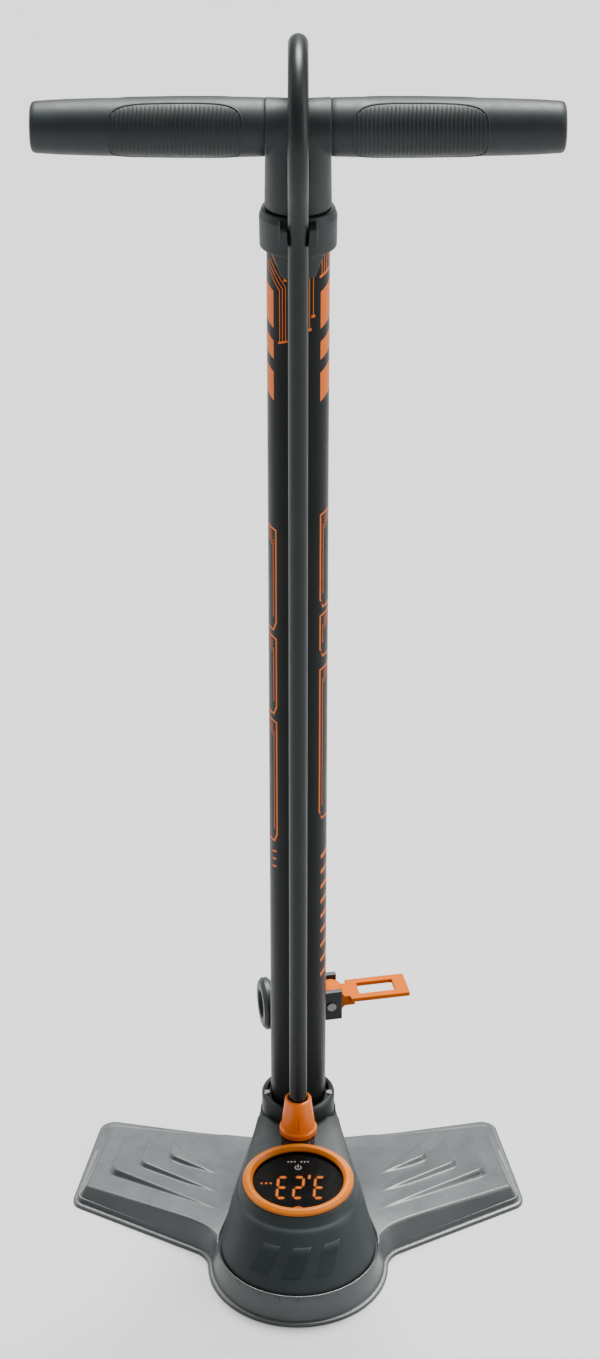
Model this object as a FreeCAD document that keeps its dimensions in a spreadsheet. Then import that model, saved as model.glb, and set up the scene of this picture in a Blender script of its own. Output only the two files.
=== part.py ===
import FreeCAD, Part
import math
import operator
import os
import Sketcher

# Floor bike pump with a digital gauge, in millimetres.
# +Z is up, -Y is the front with the gauge, +X is the lever's side. The origin is on the ground under
# the middle of the pump's box. Most pieces are drawn about the barrel's axis and then placed at barrel_y.

doc = FreeCAD.newDocument("floor_pump")
sheet = doc.addObject("Spreadsheet::Sheet", "Size")
V = FreeCAD.Vector
SIGNS = {"+": operator.add, "-": operator.sub, "*": operator.mul, "/": operator.truediv}


class Dim:
    """A size that knows its number and the sheet formula that gives it."""

    def __init__(self, value, text):
        self.value = value
        self.text = text

    def __add__(self, other):
        return combine(self, "+", other)

    def __radd__(self, other):
        return combine(other, "+", self)

    def __sub__(self, other):
        return combine(self, "-", other)

    def __rsub__(self, other):
        return combine(other, "-", self)

    def __mul__(self, other):
        return combine(self, "*", other)

    def __rmul__(self, other):
        return combine(other, "*", self)

    def __truediv__(self, other):
        return combine(self, "/", other)

    def __neg__(self):
        return combine(0, "-", self)


def number(size):
    return size.value if isinstance(size, Dim) else float(size)


def formula(size):
    return size.text if isinstance(size, Dim) else repr(float(size))


def combine(left, sign, right):
    value = SIGNS[sign](number(left), number(right))
    return Dim(value, "(%s %s %s)" % (formula(left), sign, formula(right)))


def fill_sheet(rows):
    """Write name, number and note to the sheet, and return the sizes by name."""
    sizes = {}
    for row, (name, value, note) in enumerate(rows, 1):
        sheet.set("A%d" % row, name)
        sheet.set("B%d" % row, str(value))
        sheet.setAlias("B%d" % row, name)
        sheet.set("C%d" % row, note)
        sizes[name] = Dim(float(value), "Size." + name)
    doc.recompute()
    return sizes


S = fill_sheet([
    ("foot_front", 138.7, "barrel axis to the front of the rim"),
    ("foot_back", 43.3, "barrel axis to the wing's back corner"),
    ("lobe_y", -87, "centre of the foot's round lobe"),
    ("lobe_radius", 51.7, "rim of the lobe"),
    ("rim_height", 2, "flat rim round the foot"),
    ("rim_width", 2.3, "rim outside the riser"),
    ("foot_height", 17.5, "top of the lobe"),
    ("deck_height", 8, "floor that the housing and the block stand on"),
    ("deck_hollow", 5, "hollow under that floor"),
    ("housing_base", 44.5, "radius of the housing's front lobe at the foot"),
    ("housing_rear", 23, "radius of the housing behind the barrel at the foot"),
    ("housing_top", 50, "height of the housing's deck"),
    ("housing_wall", 2.5, "wall of the housing"),
    ("clamp_radius", 21.4, "ring round the barrel"),
    ("clamp_top", 60, "top of that ring"),
    ("gauge_y", -72, "centre of the gauge"),
    ("gauge_radius", 31.8, "outside of the gauge ring"),
    ("window_radius", 25.9, "inside of the gauge ring"),
    ("block_radius", 19.2, "outside of the air block"),
    ("barrel_radius", 16, "outside of the barrel"),
    ("barrel_bore", 14.5, "inside radius of the barrel"),
    ("barrel_foot", 30, "lower end of the barrel"),
    ("barrel_head", 597, "upper end of the barrel"),
    ("collar_low", 589, "lower edge of the collar"),
    ("collar_top", 609, "upper face of the collar"),
    ("collar_radius", 19.7, "outside of the collar"),
    ("rod_radius", 5, "piston rod"),
    ("piston_foot", 34, "underside of the piston at rest"),
    ("handle_height", 650, "height of the handle's axis"),
    ("handle_reach", 131.3, "half the handle's length"),
    ("grip_radius", 14.7, "grip at its thickest"),
    ("grip_end_radius", 12.7, "grip at its ends"),
    ("hub_half", 16, "half the hub's width between the grips"),
    ("hub_radius", 14.6, "hub round the handle tube"),
    ("neck_radius", 17.1, "neck of the hub at the collar"),
    ("core_radius", 11, "handle tube"),
    ("hose_radius", 5.1, "hose"),
    ("hose_y", 26, "hose to barrel axis"),
    ("gland_foot", 50, "lower face of the gland"),
    ("gland_top", 74.4, "upper face of the gland"),
    ("hose_foot", 60.6, "lower end of the hose, inside the gland"),
    ("head_y", 28, "valve head behind the barrel axis"),
    ("head_height", 104.5, "axis of the valve head"),
    ("head_yaw", 11, "turn of the valve head about the vertical"),
    ("lever_pivot", 18, "lever pin from the middle of the head"),
    ("lever_reach", 65.5, "tip of the lever from the middle of the head"),
    ("lever_width", 20, "lever's paddle"),
])

# The barrel's axis stands behind the middle of the box by half of what the foot reaches further forward.
BARREL_Y = (S["foot_front"] - S["foot_back"]) / 2
PARTS = []


def keep(feature, label):
    """Give a finished sub-part the label that names its node."""
    feature.Label = label
    PARTS.append(feature)
    return feature


def bind(feature, prop, size):
    if isinstance(size, Dim):
        feature.setExpression(prop, size.text)
    else:
        setattr(feature, prop, size)


def place(feature, x=0, y=0, z=0, turn=None):
    """Place a feature, with its position bound to the sheet."""
    feature.Placement = FreeCAD.Placement(V(number(x), number(y), number(z)), turn or FreeCAD.Rotation())
    for axis, size in (("x", x), ("y", y), ("z", z)):
        if isinstance(size, Dim):
            feature.setExpression("Placement.Base." + axis, size.text)
    return feature


def plane_of(body, role):
    return [item for item in body.Origin.OriginFeatures if item.Role == role][0]


def new_sketch(body, name, role, height=0):
    sketch = body.newObject("Sketcher::SketchObject", name)
    sketch.AttachmentSupport = [(plane_of(body, role), "")]
    sketch.MapMode = "FlatFace"
    sketch.AttachmentOffset = FreeCAD.Placement(V(0, 0, number(height)), FreeCAD.Rotation())
    if isinstance(height, Dim):
        sketch.setExpression("AttachmentOffset.Base.z", height.text)
    return sketch


def fix(sketch, kind, args, size):
    """Add one driving dimension to a sketch and bind it to the sheet."""
    index = sketch.addConstraint(Sketcher.Constraint(kind, *args, number(size)))
    if isinstance(size, Dim):
        sketch.setExpression("Constraints[%d]" % index, size.text)


def draw_outline(sketch, points):
    """Draw a closed outline of straight lines, each corner dimensioned from the origin."""
    corners = [V(number(x), number(y), 0) for x, y in points]
    count = len(corners)
    sketch.addGeometry([Part.LineSegment(corners[i], corners[(i + 1) % count]) for i in range(count)])
    for i in range(count):
        sketch.addConstraint(Sketcher.Constraint("Coincident", i, 2, (i + 1) % count, 1))
    for i, (x, y) in enumerate(points):
        fix(sketch, "DistanceX", (-1, 1, i, 1), x)
        fix(sketch, "DistanceY", (-1, 1, i, 1), y)


def turned(name, profile, y=BARREL_Y, x=0, z=0, turn=None):
    """Turn a profile of (radius, height) corners about the vertical axis."""
    body = doc.addObject("PartDesign::Body", name)
    sketch = new_sketch(body, name + "_profile", "XZ_Plane")
    draw_outline(sketch, profile)
    spin = body.newObject("PartDesign::Revolution", name + "_turned")
    spin.Profile = sketch
    spin.ReferenceAxis = (sketch, ["V_Axis"])
    spin.Angle = 360
    body.Tip = spin
    return place(body, x, y, z, turn)


def ring(name, inner, outer, low, high, **at):
    """A plain tube or washer between two heights."""
    return turned(name, [(inner, low), (outer, low), (outer, high), (inner, high)], **at)


def primitive(kind, name, at=(0, 0, 0), turn=None, **sizes):
    feature = doc.addObject("Part::" + kind, name)
    for prop, size in sizes.items():
        bind(feature, prop, size)
    return place(feature, *at, turn=turn)


def block(name, low, high):
    """A box between two opposite corners."""
    sizes = [b - a if isinstance(a, Dim) or isinstance(b, Dim) else float(b - a) for a, b in zip(low, high)]
    return primitive("Box", name, low, Length=sizes[0], Width=sizes[1], Height=sizes[2])


def post(name, radius, height, at=(0, 0, 0), turn=None):
    return primitive("Cylinder", name, at, turn, Radius=radius, Height=height)


def fuse(name, shapes):
    joined = doc.addObject("Part::MultiFuse", name)
    joined.Shapes = shapes
    return joined


def cut(name, base, tools):
    carved = doc.addObject("Part::Cut", name)
    carved.Base = base
    carved.Tool = tools[0] if len(tools) == 1 else fuse(name + "_tools", tools)
    return carved


ALONG_X = FreeCAD.Rotation(V(0, 1, 0), 90)
ALONG_MINUS_X = FreeCAD.Rotation(V(0, 1, 0), -90)
ALONG_Y = FreeCAD.Rotation(V(1, 0, 0), -90)
ALONG_MINUS_Y = FreeCAD.Rotation(V(1, 0, 0), 90)
GAP = 0.05


# ---------------------------------------------------------------- foot

WING_FRONT = (V(63.7, -73.4, 0), V(121.3, -40.6, 0))
WING_SIDE = (V(133.7, -33.4, 0), V(119.2, 45.5, 0))
WING_BACK = (V(119.5, 45.0, 0), V(33, 27, 0))
BACK_LOBE_RADIUS = 30
FRONT_BLEND_RADIUS = 14
BACK_BLEND_RADIUS = 18
FRONT_CORNER_RADIUS = 8
BACK_CORNER_RADIUS = 9
TOP_INSET = 3
# the wings' tops fall to the back and a little outwards
WING_LEVEL = 11.0
WING_FALL_BACK = 0.116
WING_FALL_OUT = 0.021


def left_of(start, end):
    """The unit vector to the left of a direction."""
    way = (end - start).normalize()
    return V(-way.y, way.x, 0)


def shifted(line, inset):
    step = left_of(*line) * inset
    return line[0] + step, line[1] + step


def crossing(one, two):
    """Where two lines meet."""
    a = one[1] - one[0]
    b = two[1] - two[0]
    between = two[0] - one[0]
    along = (between.x * b.y - between.y * b.x) / (a.x * b.y - a.y * b.x)
    return one[0] + a * along


def round_corner(before, corner, after, radius):
    """The arc that rounds a corner, as its start, middle and end."""
    back = (before - corner).normalize()
    on = (after - corner).normalize()
    half = back.getAngle(on) / 2
    centre = corner + (back + on).normalize() * (radius / math.sin(half))
    reach = radius / math.tan(half)
    middle = centre + (corner - centre).normalize() * radius
    return corner + back * reach, middle, corner + on * reach


def blend_to_lobe(line, lobe, lobe_radius, radius, take):
    """The hollow arc between a line and a round lobe, from the lobe to the line."""
    outside = shifted(line, -radius)
    way = (outside[1] - outside[0]).normalize()
    nearest = outside[0] + way * (lobe - outside[0]).dot(way)
    off = (lobe - nearest).Length
    centre = nearest + way * take * math.sqrt((lobe_radius + radius) ** 2 - off ** 2)
    on_lobe = centre + (lobe - centre).normalize() * radius
    on_line = centre + left_of(*line) * radius
    middle = centre + ((on_lobe - centre) + (on_line - centre)).normalize() * radius
    return on_lobe, middle, on_line


def foot_outline(inset, height):
    """The foot's outline as one wire of lines and arcs, moved inwards by inset."""
    lobe = V(0, number(S["lobe_y"]), 0)
    lobe_radius = number(S["lobe_radius"]) - inset
    front = shifted(WING_FRONT, inset)
    side = shifted(WING_SIDE, inset)
    back = shifted(WING_BACK, inset)
    front_corner = crossing(front, side)
    back_corner = crossing(side, back)
    hollow = blend_to_lobe(front, lobe, lobe_radius, FRONT_BLEND_RADIUS + inset, 1)
    corner_one = round_corner(front[0], front_corner, side[1], FRONT_CORNER_RADIUS - inset / 2)
    corner_two = round_corner(side[0], back_corner, back[1], BACK_CORNER_RADIUS - inset / 2)
    rear_radius = BACK_LOBE_RADIUS - inset
    rear = blend_to_lobe(back, V(0, 0, 0), rear_radius, BACK_BLEND_RADIUS + inset, -1)
    nose = lobe - V(0, lobe_radius, 0)
    nose_side = lobe + V(lobe_radius * math.sin(math.pi / 4), -lobe_radius * math.cos(math.pi / 4), 0)
    tail_side = V(rear_radius * math.sin(0.3), rear_radius * math.cos(0.3), 0)
    half = [
        Part.Arc(nose, nose_side, hollow[0]),
        Part.Arc(hollow[0], hollow[1], hollow[2]),
        Part.LineSegment(hollow[2], corner_one[0]),
        Part.Arc(*corner_one),
        Part.LineSegment(corner_one[2], corner_two[0]),
        Part.Arc(*corner_two),
        Part.LineSegment(corner_two[2], rear[2]),
        Part.Arc(rear[2], rear[1], rear[0]),
        Part.Arc(rear[0], tail_side, V(0, rear_radius, 0)),
    ]
    edges = [piece.toShape() for piece in half]
    mirrored = [edge.mirror(V(0, 0, 0), V(1, 0, 0)) for edge in edges]
    wire = Part.Wire(Part.__sortEdges__(edges + mirrored))
    wire.translate(V(0, 0, height))
    return wire


def wing_height(x, y):
    return WING_LEVEL - WING_FALL_OUT * abs(x) - WING_FALL_BACK * y


def column(corners, bottoms, tops):
    """A solid over a flat outline, whose corners each have a height below and above."""
    low = [V(x, y, z) for (x, y), z in zip(corners, bottoms)]
    high = [V(x, y, z) for (x, y), z in zip(corners, tops)]
    faces = [flat_face(low[::-1])] + [flat_face(high)]
    for i in range(len(corners)):
        j = (i + 1) % len(corners)
        faces.append(flat_face([low[i], low[j], high[j], high[i]]))
    return Part.makeSolid(Part.makeShell(faces))


def flat_face(points):
    return Part.Face(Part.makePolygon(points + points[:1]))


def both_sides(solid):
    return [solid, solid.mirror(V(0, 0, 0), V(1, 0, 0))]


def step_solid(corner, inner_end, back_end, rise):
    """One of the wing's wedge-shaped steps: raised at its outer front corner and flush at its two ends."""
    corners = [corner, inner_end, back_end]
    tops = [wing_height(*corner) + rise, wing_height(*inner_end) + 0.1, wing_height(*back_end) + 0.1]
    return column(corners, [3.5] * 3, tops)


def make_foot():
    """The foot: a lobe and two swept wings with a rim all round, hollow below."""
    rim_height = number(S["rim_height"])
    rim_width = number(S["rim_width"])
    top = number(S["foot_height"])
    rim = Part.Face(foot_outline(0, 0)).extrude(V(0, 0, rim_height))
    riser_foot = foot_outline(rim_width, rim_height)
    riser_top = foot_outline(rim_width + TOP_INSET, top)
    riser = Part.makeLoft([riser_foot, riser_top], True, True)
    far = 150
    above = [(0, -80), (far, -80), (far, 60), (0, 60)]
    sky = column(above, [wing_height(*corner) for corner in above], [far] * 4)
    foot = rim.fuse(riser).cut(both_sides(sky))
    steps = []
    for corner, inner_end, back_end, rise in (
        ((109, -19), (48, -56), (103, 22), 4.6),
        ((92.5, -11.5), (44, -41), (88.5, 18), 4.8),
        ((76, -3.5), (42, -22.5), (74.5, 13.5), 4.2),
    ):
        steps += both_sides(step_solid(corner, inner_end, back_end, rise))
    foot = foot.fuse(steps)
    pocket = [(50, -59), (119, -25), (108, 33), (34, 17)]
    roof = [wing_height(*corner) - 3.2 for corner in pocket]
    hollows = both_sides(column(pocket, [-1] * 4, roof))
    lobe_y = number(S["lobe_y"])
    under_deck = number(S["deck_hollow"]) + 1
    hollows.append(Part.makeCylinder(number(S["housing_base"]) - 3, under_deck, V(0, lobe_y, -1)))
    hollows.append(Part.makeBox(48, 90, under_deck, V(-24, -66, -1)))
    return foot.cut(hollows)


def hull_points(front_y, front_radius, rear_radius):
    """Where the two side lines touch a front circle and one about the barrel."""
    lean = (rear_radius - front_radius) / front_y
    normal = V(math.sqrt(1 - lean * lean), lean, 0)
    return V(0, front_y, 0) + normal * front_radius, normal * rear_radius


def draw_hull(sketch, front_y, front_radius, rear_radius):
    """Draw two circles' common outline: a front arc, a rear arc and two lines that touch both."""
    touch_front, touch_rear = hull_points(number(front_y), number(front_radius), number(rear_radius))
    left_front = V(-touch_front.x, touch_front.y, 0)
    left_rear = V(-touch_rear.x, touch_rear.y, 0)
    nose = V(0, number(front_y) - number(front_radius), 0)
    sketch.addGeometry([
        Part.Arc(left_front, nose, touch_front),
        Part.LineSegment(touch_front, touch_rear),
        Part.Arc(touch_rear, V(0, number(rear_radius), 0), left_rear),
        Part.LineSegment(left_rear, left_front),
    ])
    sketch.addConstraint(Sketcher.Constraint("Tangent", 0, 2, 1, 1))
    sketch.addConstraint(Sketcher.Constraint("Tangent", 1, 2, 2, 1))
    sketch.addConstraint(Sketcher.Constraint("Tangent", 2, 2, 3, 1))
    sketch.addConstraint(Sketcher.Constraint("Tangent", 3, 2, 0, 1))
    sketch.addConstraint(Sketcher.Constraint("PointOnObject", 0, 3, -2))
    sketch.addConstraint(Sketcher.Constraint("Coincident", 2, 3, -1, 1))
    fix(sketch, "DistanceY", (-1, 1, 0, 3), front_y)
    fix(sketch, "Radius", (0,), front_radius)
    fix(sketch, "Radius", (2,), rear_radius)


def draw_circle(sketch, radius, y=0, x=0):
    sketch.addGeometry(Part.Circle(V(number(x), number(y), 0), V(0, 0, 1), number(radius)))
    fix(sketch, "Radius", (0,), radius)
    fix(sketch, "DistanceX", (-1, 1, 0, 3), x)
    fix(sketch, "DistanceY", (-1, 1, 0, 3), y)


def pad_up(body, sketch, name, length):
    pad = body.newObject("PartDesign::Pad", name)
    pad.Profile = sketch
    bind(pad, "Length", length)
    return pad


def pocket_down(body, sketch, name, length):
    pocket = body.newObject("PartDesign::Pocket", name)
    pocket.Profile = sketch
    bind(pocket, "Length", length)
    return pocket


def hull_loft(body, kind, name, low, high, base, top):
    """A loft between two hull outlines; base and top are (front_y, front_radius, rear_radius)."""
    lower = new_sketch(body, name + "_base", "XY_Plane", low)
    draw_hull(lower, *base)
    upper = new_sketch(body, name + "_top", "XY_Plane", high)
    draw_hull(upper, *top)
    loft = body.newObject("PartDesign::" + kind, name)
    loft.Profile = lower
    loft.Sections = [upper]
    loft.Ruled = True
    return loft


CLAMP_SCREW_X = 18.2
CLAMP_SCREW_Y = -4
CLAMP_SHANK = 0.9
BOSS_RADIUS = 4
BOSS_HEIGHT = 12
# screws from below: four for the air block, then three for the housing
SCREW_PLACES = [(11, 11), (-11, 11), (11, -11), (-11, -11), (34, -87), (-34, -87), (0, -120)]


def make_housing():
    """The dark housing over the air block and the gauge, with the ring that holds the barrel."""
    body = doc.addObject("PartDesign::Body", "housing")
    wall = S["housing_wall"]
    base = (S["lobe_y"], S["housing_base"], S["housing_rear"])
    top = (S["gauge_y"], S["gauge_radius"] + 0.2, S["clamp_radius"])
    skirt = new_sketch(body, "skirt_outline", "XY_Plane", S["deck_height"])
    draw_hull(skirt, *base)
    pad_up(body, skirt, "skirt", S["foot_height"] - S["deck_height"])
    hull_loft(body, "AdditiveLoft", "cone", S["foot_height"], S["housing_top"], base, top)
    clamp = new_sketch(body, "clamp_outline", "XY_Plane", S["deck_height"])
    draw_circle(clamp, S["clamp_radius"])
    pad_up(body, clamp, "clamp", S["clamp_top"] - S["deck_height"])
    inner_base = (base[0], base[1] - wall, base[2] - wall)
    inner_top = (top[0], top[1] - wall, S["block_radius"] + GAP)
    hull_loft(body, "SubtractiveLoft", "room", S["deck_height"], S["housing_top"] - 3, inner_base, inner_top)
    seat_top = S["clamp_top"] - 3
    openings = [
        ("block_seat", S["block_radius"] + GAP, 0, 0, seat_top, seat_top - S["deck_height"]),
        ("barrel_hole", S["barrel_radius"] + 0.25, 0, 0, S["clamp_top"], 4),
        ("gauge_hole", 30, S["gauge_y"], 0, S["housing_top"], 4),
        ("gland_hole", 7, -S["hose_y"], 0, S["housing_top"], 4),
        ("clamp_hole_left", CLAMP_SHANK + GAP, CLAMP_SCREW_Y, -CLAMP_SCREW_X, S["clamp_top"], 4),
        ("clamp_hole_right", CLAMP_SHANK + GAP, CLAMP_SCREW_Y, CLAMP_SCREW_X, S["clamp_top"], 4),
    ]
    for i, (x, y) in enumerate(SCREW_PLACES[4:]):
        boss = new_sketch(body, "boss_outline_%d" % i, "XY_Plane", S["deck_height"])
        draw_circle(boss, BOSS_RADIUS, y, x)
        pad_up(body, boss, "boss_%d" % i, BOSS_HEIGHT)
        hole_top = S["deck_height"] + BOSS_HEIGHT - 1
        openings.append(("boss_hole_%d" % i, 1.5 + GAP, y, x, hole_top, BOSS_HEIGHT))
    for name, radius, y, x, height, depth in openings:
        sketch = new_sketch(body, name + "_outline", "XY_Plane", height)
        draw_circle(sketch, radius, y, x)
        body.Tip = pocket_down(body, sketch, name, depth)
    return place(body, 0, BARREL_Y)


foot_blank = doc.addObject("Part::Feature", "foot_blank")
foot_blank.Shape = make_foot()
foot_recess = doc.addObject("PartDesign::Body", "foot_recess")
recess_sketch = new_sketch(foot_recess, "recess_outline", "XY_Plane", S["deck_height"])
draw_hull(recess_sketch, S["lobe_y"], S["housing_base"] + 0.2, S["housing_rear"] + 0.2)
pad_up(foot_recess, recess_sketch, "recess", S["foot_height"])

screw_holes = []
for i, (x, y) in enumerate(SCREW_PLACES):
    screw_holes.append(post("screw_hole_%d" % i, 1.8, 6, (x, y, S["deck_hollow"] - 1)))
plug_hole = post("plug_hole", 6.2, 8, (0, 0, 2))
foot = cut("foot", foot_blank, [foot_recess, plug_hole] + screw_holes)
keep(place(foot, 0, BARREL_Y), "foot_plate")
keep(make_housing(), "base_housing")


def screw_group(name, places, shank_length):
    """Alike screws driven upwards, each with its head below and a hexagon socket in it."""
    screws = []
    low = S["deck_hollow"] - 2.5
    for i, (x, y) in enumerate(places):
        head = post("%s_head_%d" % (name, i), 3, 2.5, (x, y, low))
        shank = post("%s_shank_%d" % (name, i), 1.5, shank_length, (x, y, S["deck_hollow"]))
        whole = fuse("%s_whole_%d" % (name, i), [head, shank])
        at = (x, y, low - 1)
        socket = primitive("Prism", "%s_socket_%d" % (name, i), at, Polygon=6, Circumradius=1.4, Height=2.2)
        screws.append(cut("%s_one_%d" % (name, i), whole, [socket]))
    return place(fuse(name, screws), 0, BARREL_Y)


keep(screw_group("block_screws", SCREW_PLACES[:4], 14), "block_screws")
keep(screw_group("housing_screws", SCREW_PLACES[4:], 12), "housing_screws")

# ---------------------------------------------------------------- air block and valve

VALVE_ROOM_RADIUS = 5
PORT_RADIUS = 2
CHANNEL_HEIGHT = 20
block_cup = ring("block_cup", 0, S["block_radius"], S["deck_height"], S["clamp_top"] - 3.1, y=0)
block_arm = block("block_arm", (-7, -S["hose_y"] - 7, S["deck_height"]), (7, -12, S["housing_top"] - 4))
block_body = fuse("block_body", [block_cup, block_arm])
barrel_seat = post("barrel_seat", S["barrel_radius"] + GAP, 40, (0, 0, S["barrel_foot"]))
SEAL_LOW = 53.5
seal_seat = post("seal_seat", 18, 10, (0, 0, SEAL_LOW))
valve_room = post("valve_room", VALVE_ROOM_RADIUS, 18, (0, 0, S["deck_height"] - 1))
valve_port = post("valve_port", PORT_RADIUS, 10, (0, 0, 24))
channel = post("channel", PORT_RADIUS, S["hose_y"], (0, 0, CHANNEL_HEIGHT), ALONG_MINUS_Y)
riser_channel = post("riser_channel", 3 + GAP, 40, (0, -S["hose_y"], CHANNEL_HEIGHT - 3.2))
sensor_channel = post("sensor_channel", 1, 12, (0, -S["hose_y"], 30), ALONG_MINUS_Y)
block_holes = []
for i, (x, y) in enumerate(SCREW_PLACES[:4]):
    block_holes.append(post("block_hole_%d" % i, 1.5 + GAP, 13, (x, y, S["deck_height"] - 1)))
air_block = cut(
    "air_block_cut", block_body,
    [barrel_seat, seal_seat, valve_room, valve_port, channel, riser_channel, sensor_channel] + block_holes,
)
keep(place(air_block, 0, BARREL_Y), "air_block")

PLUG_TOP = 12
keep(turned("valve_plug_body", [
    (0, 3), (6, 3), (6, 5), (VALVE_ROOM_RADIUS - GAP, 5), (VALVE_ROOM_RADIUS - GAP, PLUG_TOP),
    (1.5, PLUG_TOP), (1.5, PLUG_TOP + 2), (0, PLUG_TOP + 2),
]), "valve_plug")
POPPET_LOW = 23.3
keep(turned("poppet_body", [
    (0, POPPET_LOW - 2.5), (1.4, POPPET_LOW - 2.5), (1.4, POPPET_LOW), (4, POPPET_LOW),
    (4, POPPET_LOW + 1.6), (1.6, POPPET_LOW + 1.6), (1.6, POPPET_LOW + 4), (0, POPPET_LOW + 4),
]), "valve_poppet")

SPRING_WIRE = 0.7


def make_spring(length, radius, turns):
    """A square-wire compression spring, its first turn's middle at the origin's height."""
    rise = length - SPRING_WIRE
    helix = Part.makeHelix(rise / turns, rise, radius)
    half = SPRING_WIRE / 2
    corners = [V(radius + x, 0, z) for x, z in ((-half, -half), (half, -half), (half, half), (-half, half))]
    section = Part.makePolygon(corners + corners[:1])
    return Part.Wire(helix).makePipeShell([section], True, True)


spring = doc.addObject("Part::Feature", "valve_spring_coil")
spring.Shape = make_spring(POPPET_LOW - PLUG_TOP - 0.2, 2.6, 4)
keep(place(spring, 0, BARREL_Y, PLUG_TOP + 0.1 + SPRING_WIRE / 2), "valve_spring")

# ---------------------------------------------------------------- barrel, collar and its seals

BARREL_LOW = S["barrel_foot"] + GAP
keep(ring("barrel_tube", S["barrel_bore"], S["barrel_radius"], BARREL_LOW, S["barrel_head"]), "barrel")
SEAL_TOP = S["clamp_top"] - 3.2
keep(ring("seal_ring", S["barrel_radius"] + GAP, 18 - GAP, SEAL_LOW + GAP, SEAL_TOP), "barrel_seal")

clamp_screw_solids = []
for side in (-1, 1):
    spot = (side * CLAMP_SCREW_X, CLAMP_SCREW_Y)
    shank = post("clamp_shank", CLAMP_SHANK, 2.9, (*spot, S["clamp_top"] - 2.85))
    head = post("clamp_head", 1.6, 1.2, (*spot, S["clamp_top"] + GAP))
    screw = fuse("clamp_screw", [shank, head])
    slot_low = (spot[0] - 2, spot[1] - 0.25, S["clamp_top"] + 0.8)
    slot_high = (spot[0] + 2, spot[1] + 0.25, 63)
    clamp_slot = block("clamp_slot", slot_low, slot_high)
    clamp_screw_solids.append(cut("slotted_screw", screw, [clamp_slot]))
keep(place(fuse("clamp_screw_pair", clamp_screw_solids), 0, BARREL_Y), "clamp_screws")

BUSH_BORE = 8
collar_cap = turned("collar_cap", [
    (S["barrel_radius"] + GAP, S["collar_low"]), (S["collar_radius"] - 0.2, S["collar_low"]),
    (S["collar_radius"], S["collar_top"] - 4), (S["collar_radius"] - 1.4, S["collar_top"]),
    (BUSH_BORE + GAP, S["collar_top"]), (BUSH_BORE + GAP, S["barrel_head"] + 0.1),
    (S["barrel_radius"] + GAP, S["barrel_head"] + 0.1),
], y=0)
TONGUE_LENGTH = 12
tongue_ring = ring("tongue_ring", S["barrel_radius"] + GAP, S["barrel_radius"] + 1.5,
                   S["collar_low"] - TONGUE_LENGTH, S["collar_low"] + 1, y=0)
tongue_shape = doc.addObject("PartDesign::Body", "tongue_shape")
tongue_sketch = new_sketch(tongue_shape, "tongue_outline", "XZ_Plane")
draw_outline(tongue_sketch, [
    (-13.8, S["collar_low"] + 1), (-8, S["collar_low"] - TONGUE_LENGTH - 1),
    (8, S["collar_low"] - TONGUE_LENGTH - 1), (13.8, S["collar_low"] + 1),
])
pad_up(tongue_shape, tongue_sketch, "tongue_pad", 25)
tongue = doc.addObject("Part::Common", "tongue")
tongue.Base = tongue_ring
tongue.Tool = tongue_shape
PRONG_INNER = S["hose_radius"] + 0.25
PRONG_OUTER = PRONG_INNER + 3.9
PRONG_REACH = S["hose_y"] + 4.6
prongs = []
for across in (-1, 1):
    for along in (-1, 1):
        low_x = PRONG_INNER if across > 0 else -PRONG_OUTER
        high_x = PRONG_OUTER if across > 0 else -PRONG_INNER
        low_y = 16.5 if along > 0 else -PRONG_REACH
        high_y = PRONG_REACH if along > 0 else -16.5
        low = (low_x, low_y, S["collar_top"] - 11)
        high = (high_x, high_y, S["collar_top"] - 1.5)
        prongs.append(block("prong", low, high))
keep(place(fuse("collar_body", [collar_cap, tongue] + prongs), 0, BARREL_Y), "collar")

BUSH_LOW = S["barrel_head"] - 14
BUSH_TOP = S["collar_top"] - 5
ROD_HOLE = S["rod_radius"] + GAP
keep(turned("bush_body", [
    (ROD_HOLE, BUSH_LOW), (S["barrel_bore"] - 0.1, BUSH_LOW), (S["barrel_bore"] - 0.1, S["barrel_head"]),
    (BUSH_BORE, S["barrel_head"]), (BUSH_BORE, BUSH_TOP), (ROD_HOLE, BUSH_TOP),
]), "guide_bush")
WIPER_TOP = S["collar_top"] - 0.6
keep(ring("wiper_ring", S["rod_radius"] + 0.03, BUSH_BORE - 0.2, BUSH_TOP + 0.1, WIPER_TOP), "rod_wiper")

# ---------------------------------------------------------------- rod, piston and handle

ROD_NECK = 3
PISTON_TOP = S["piston_foot"] + 12
ROD_HEAD = S["handle_height"] - S["core_radius"] - 3
keep(turned("rod_body", [
    (0, S["barrel_foot"] + 0.8), (ROD_NECK, S["barrel_foot"] + 0.8), (ROD_NECK, PISTON_TOP + GAP),
    (S["rod_radius"], PISTON_TOP + GAP), (S["rod_radius"], ROD_HEAD), (ROD_NECK + GAP, ROD_HEAD),
    (ROD_NECK + GAP, ROD_HEAD - 14), (0, ROD_HEAD - 14),
]), "piston_rod")
SEAL_GROOVE = 11.8
keep(turned("piston_body", [
    (ROD_NECK + GAP, S["piston_foot"]), (S["barrel_bore"] - 0.3, S["piston_foot"]),
    (S["barrel_bore"] - 0.3, S["piston_foot"] + 3.5), (SEAL_GROOVE, S["piston_foot"] + 3.5),
    (SEAL_GROOVE, S["piston_foot"] + 7.5), (S["barrel_bore"] - 0.3, S["piston_foot"] + 7.5),
    (S["barrel_bore"] - 0.3, PISTON_TOP), (ROD_NECK + GAP, PISTON_TOP),
]), "piston")
keep(ring("piston_seal_ring", SEAL_GROOVE + GAP, S["barrel_bore"] - 0.05,
          S["piston_foot"] + 3.6, S["piston_foot"] + 7.4), "piston_seal")
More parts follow.
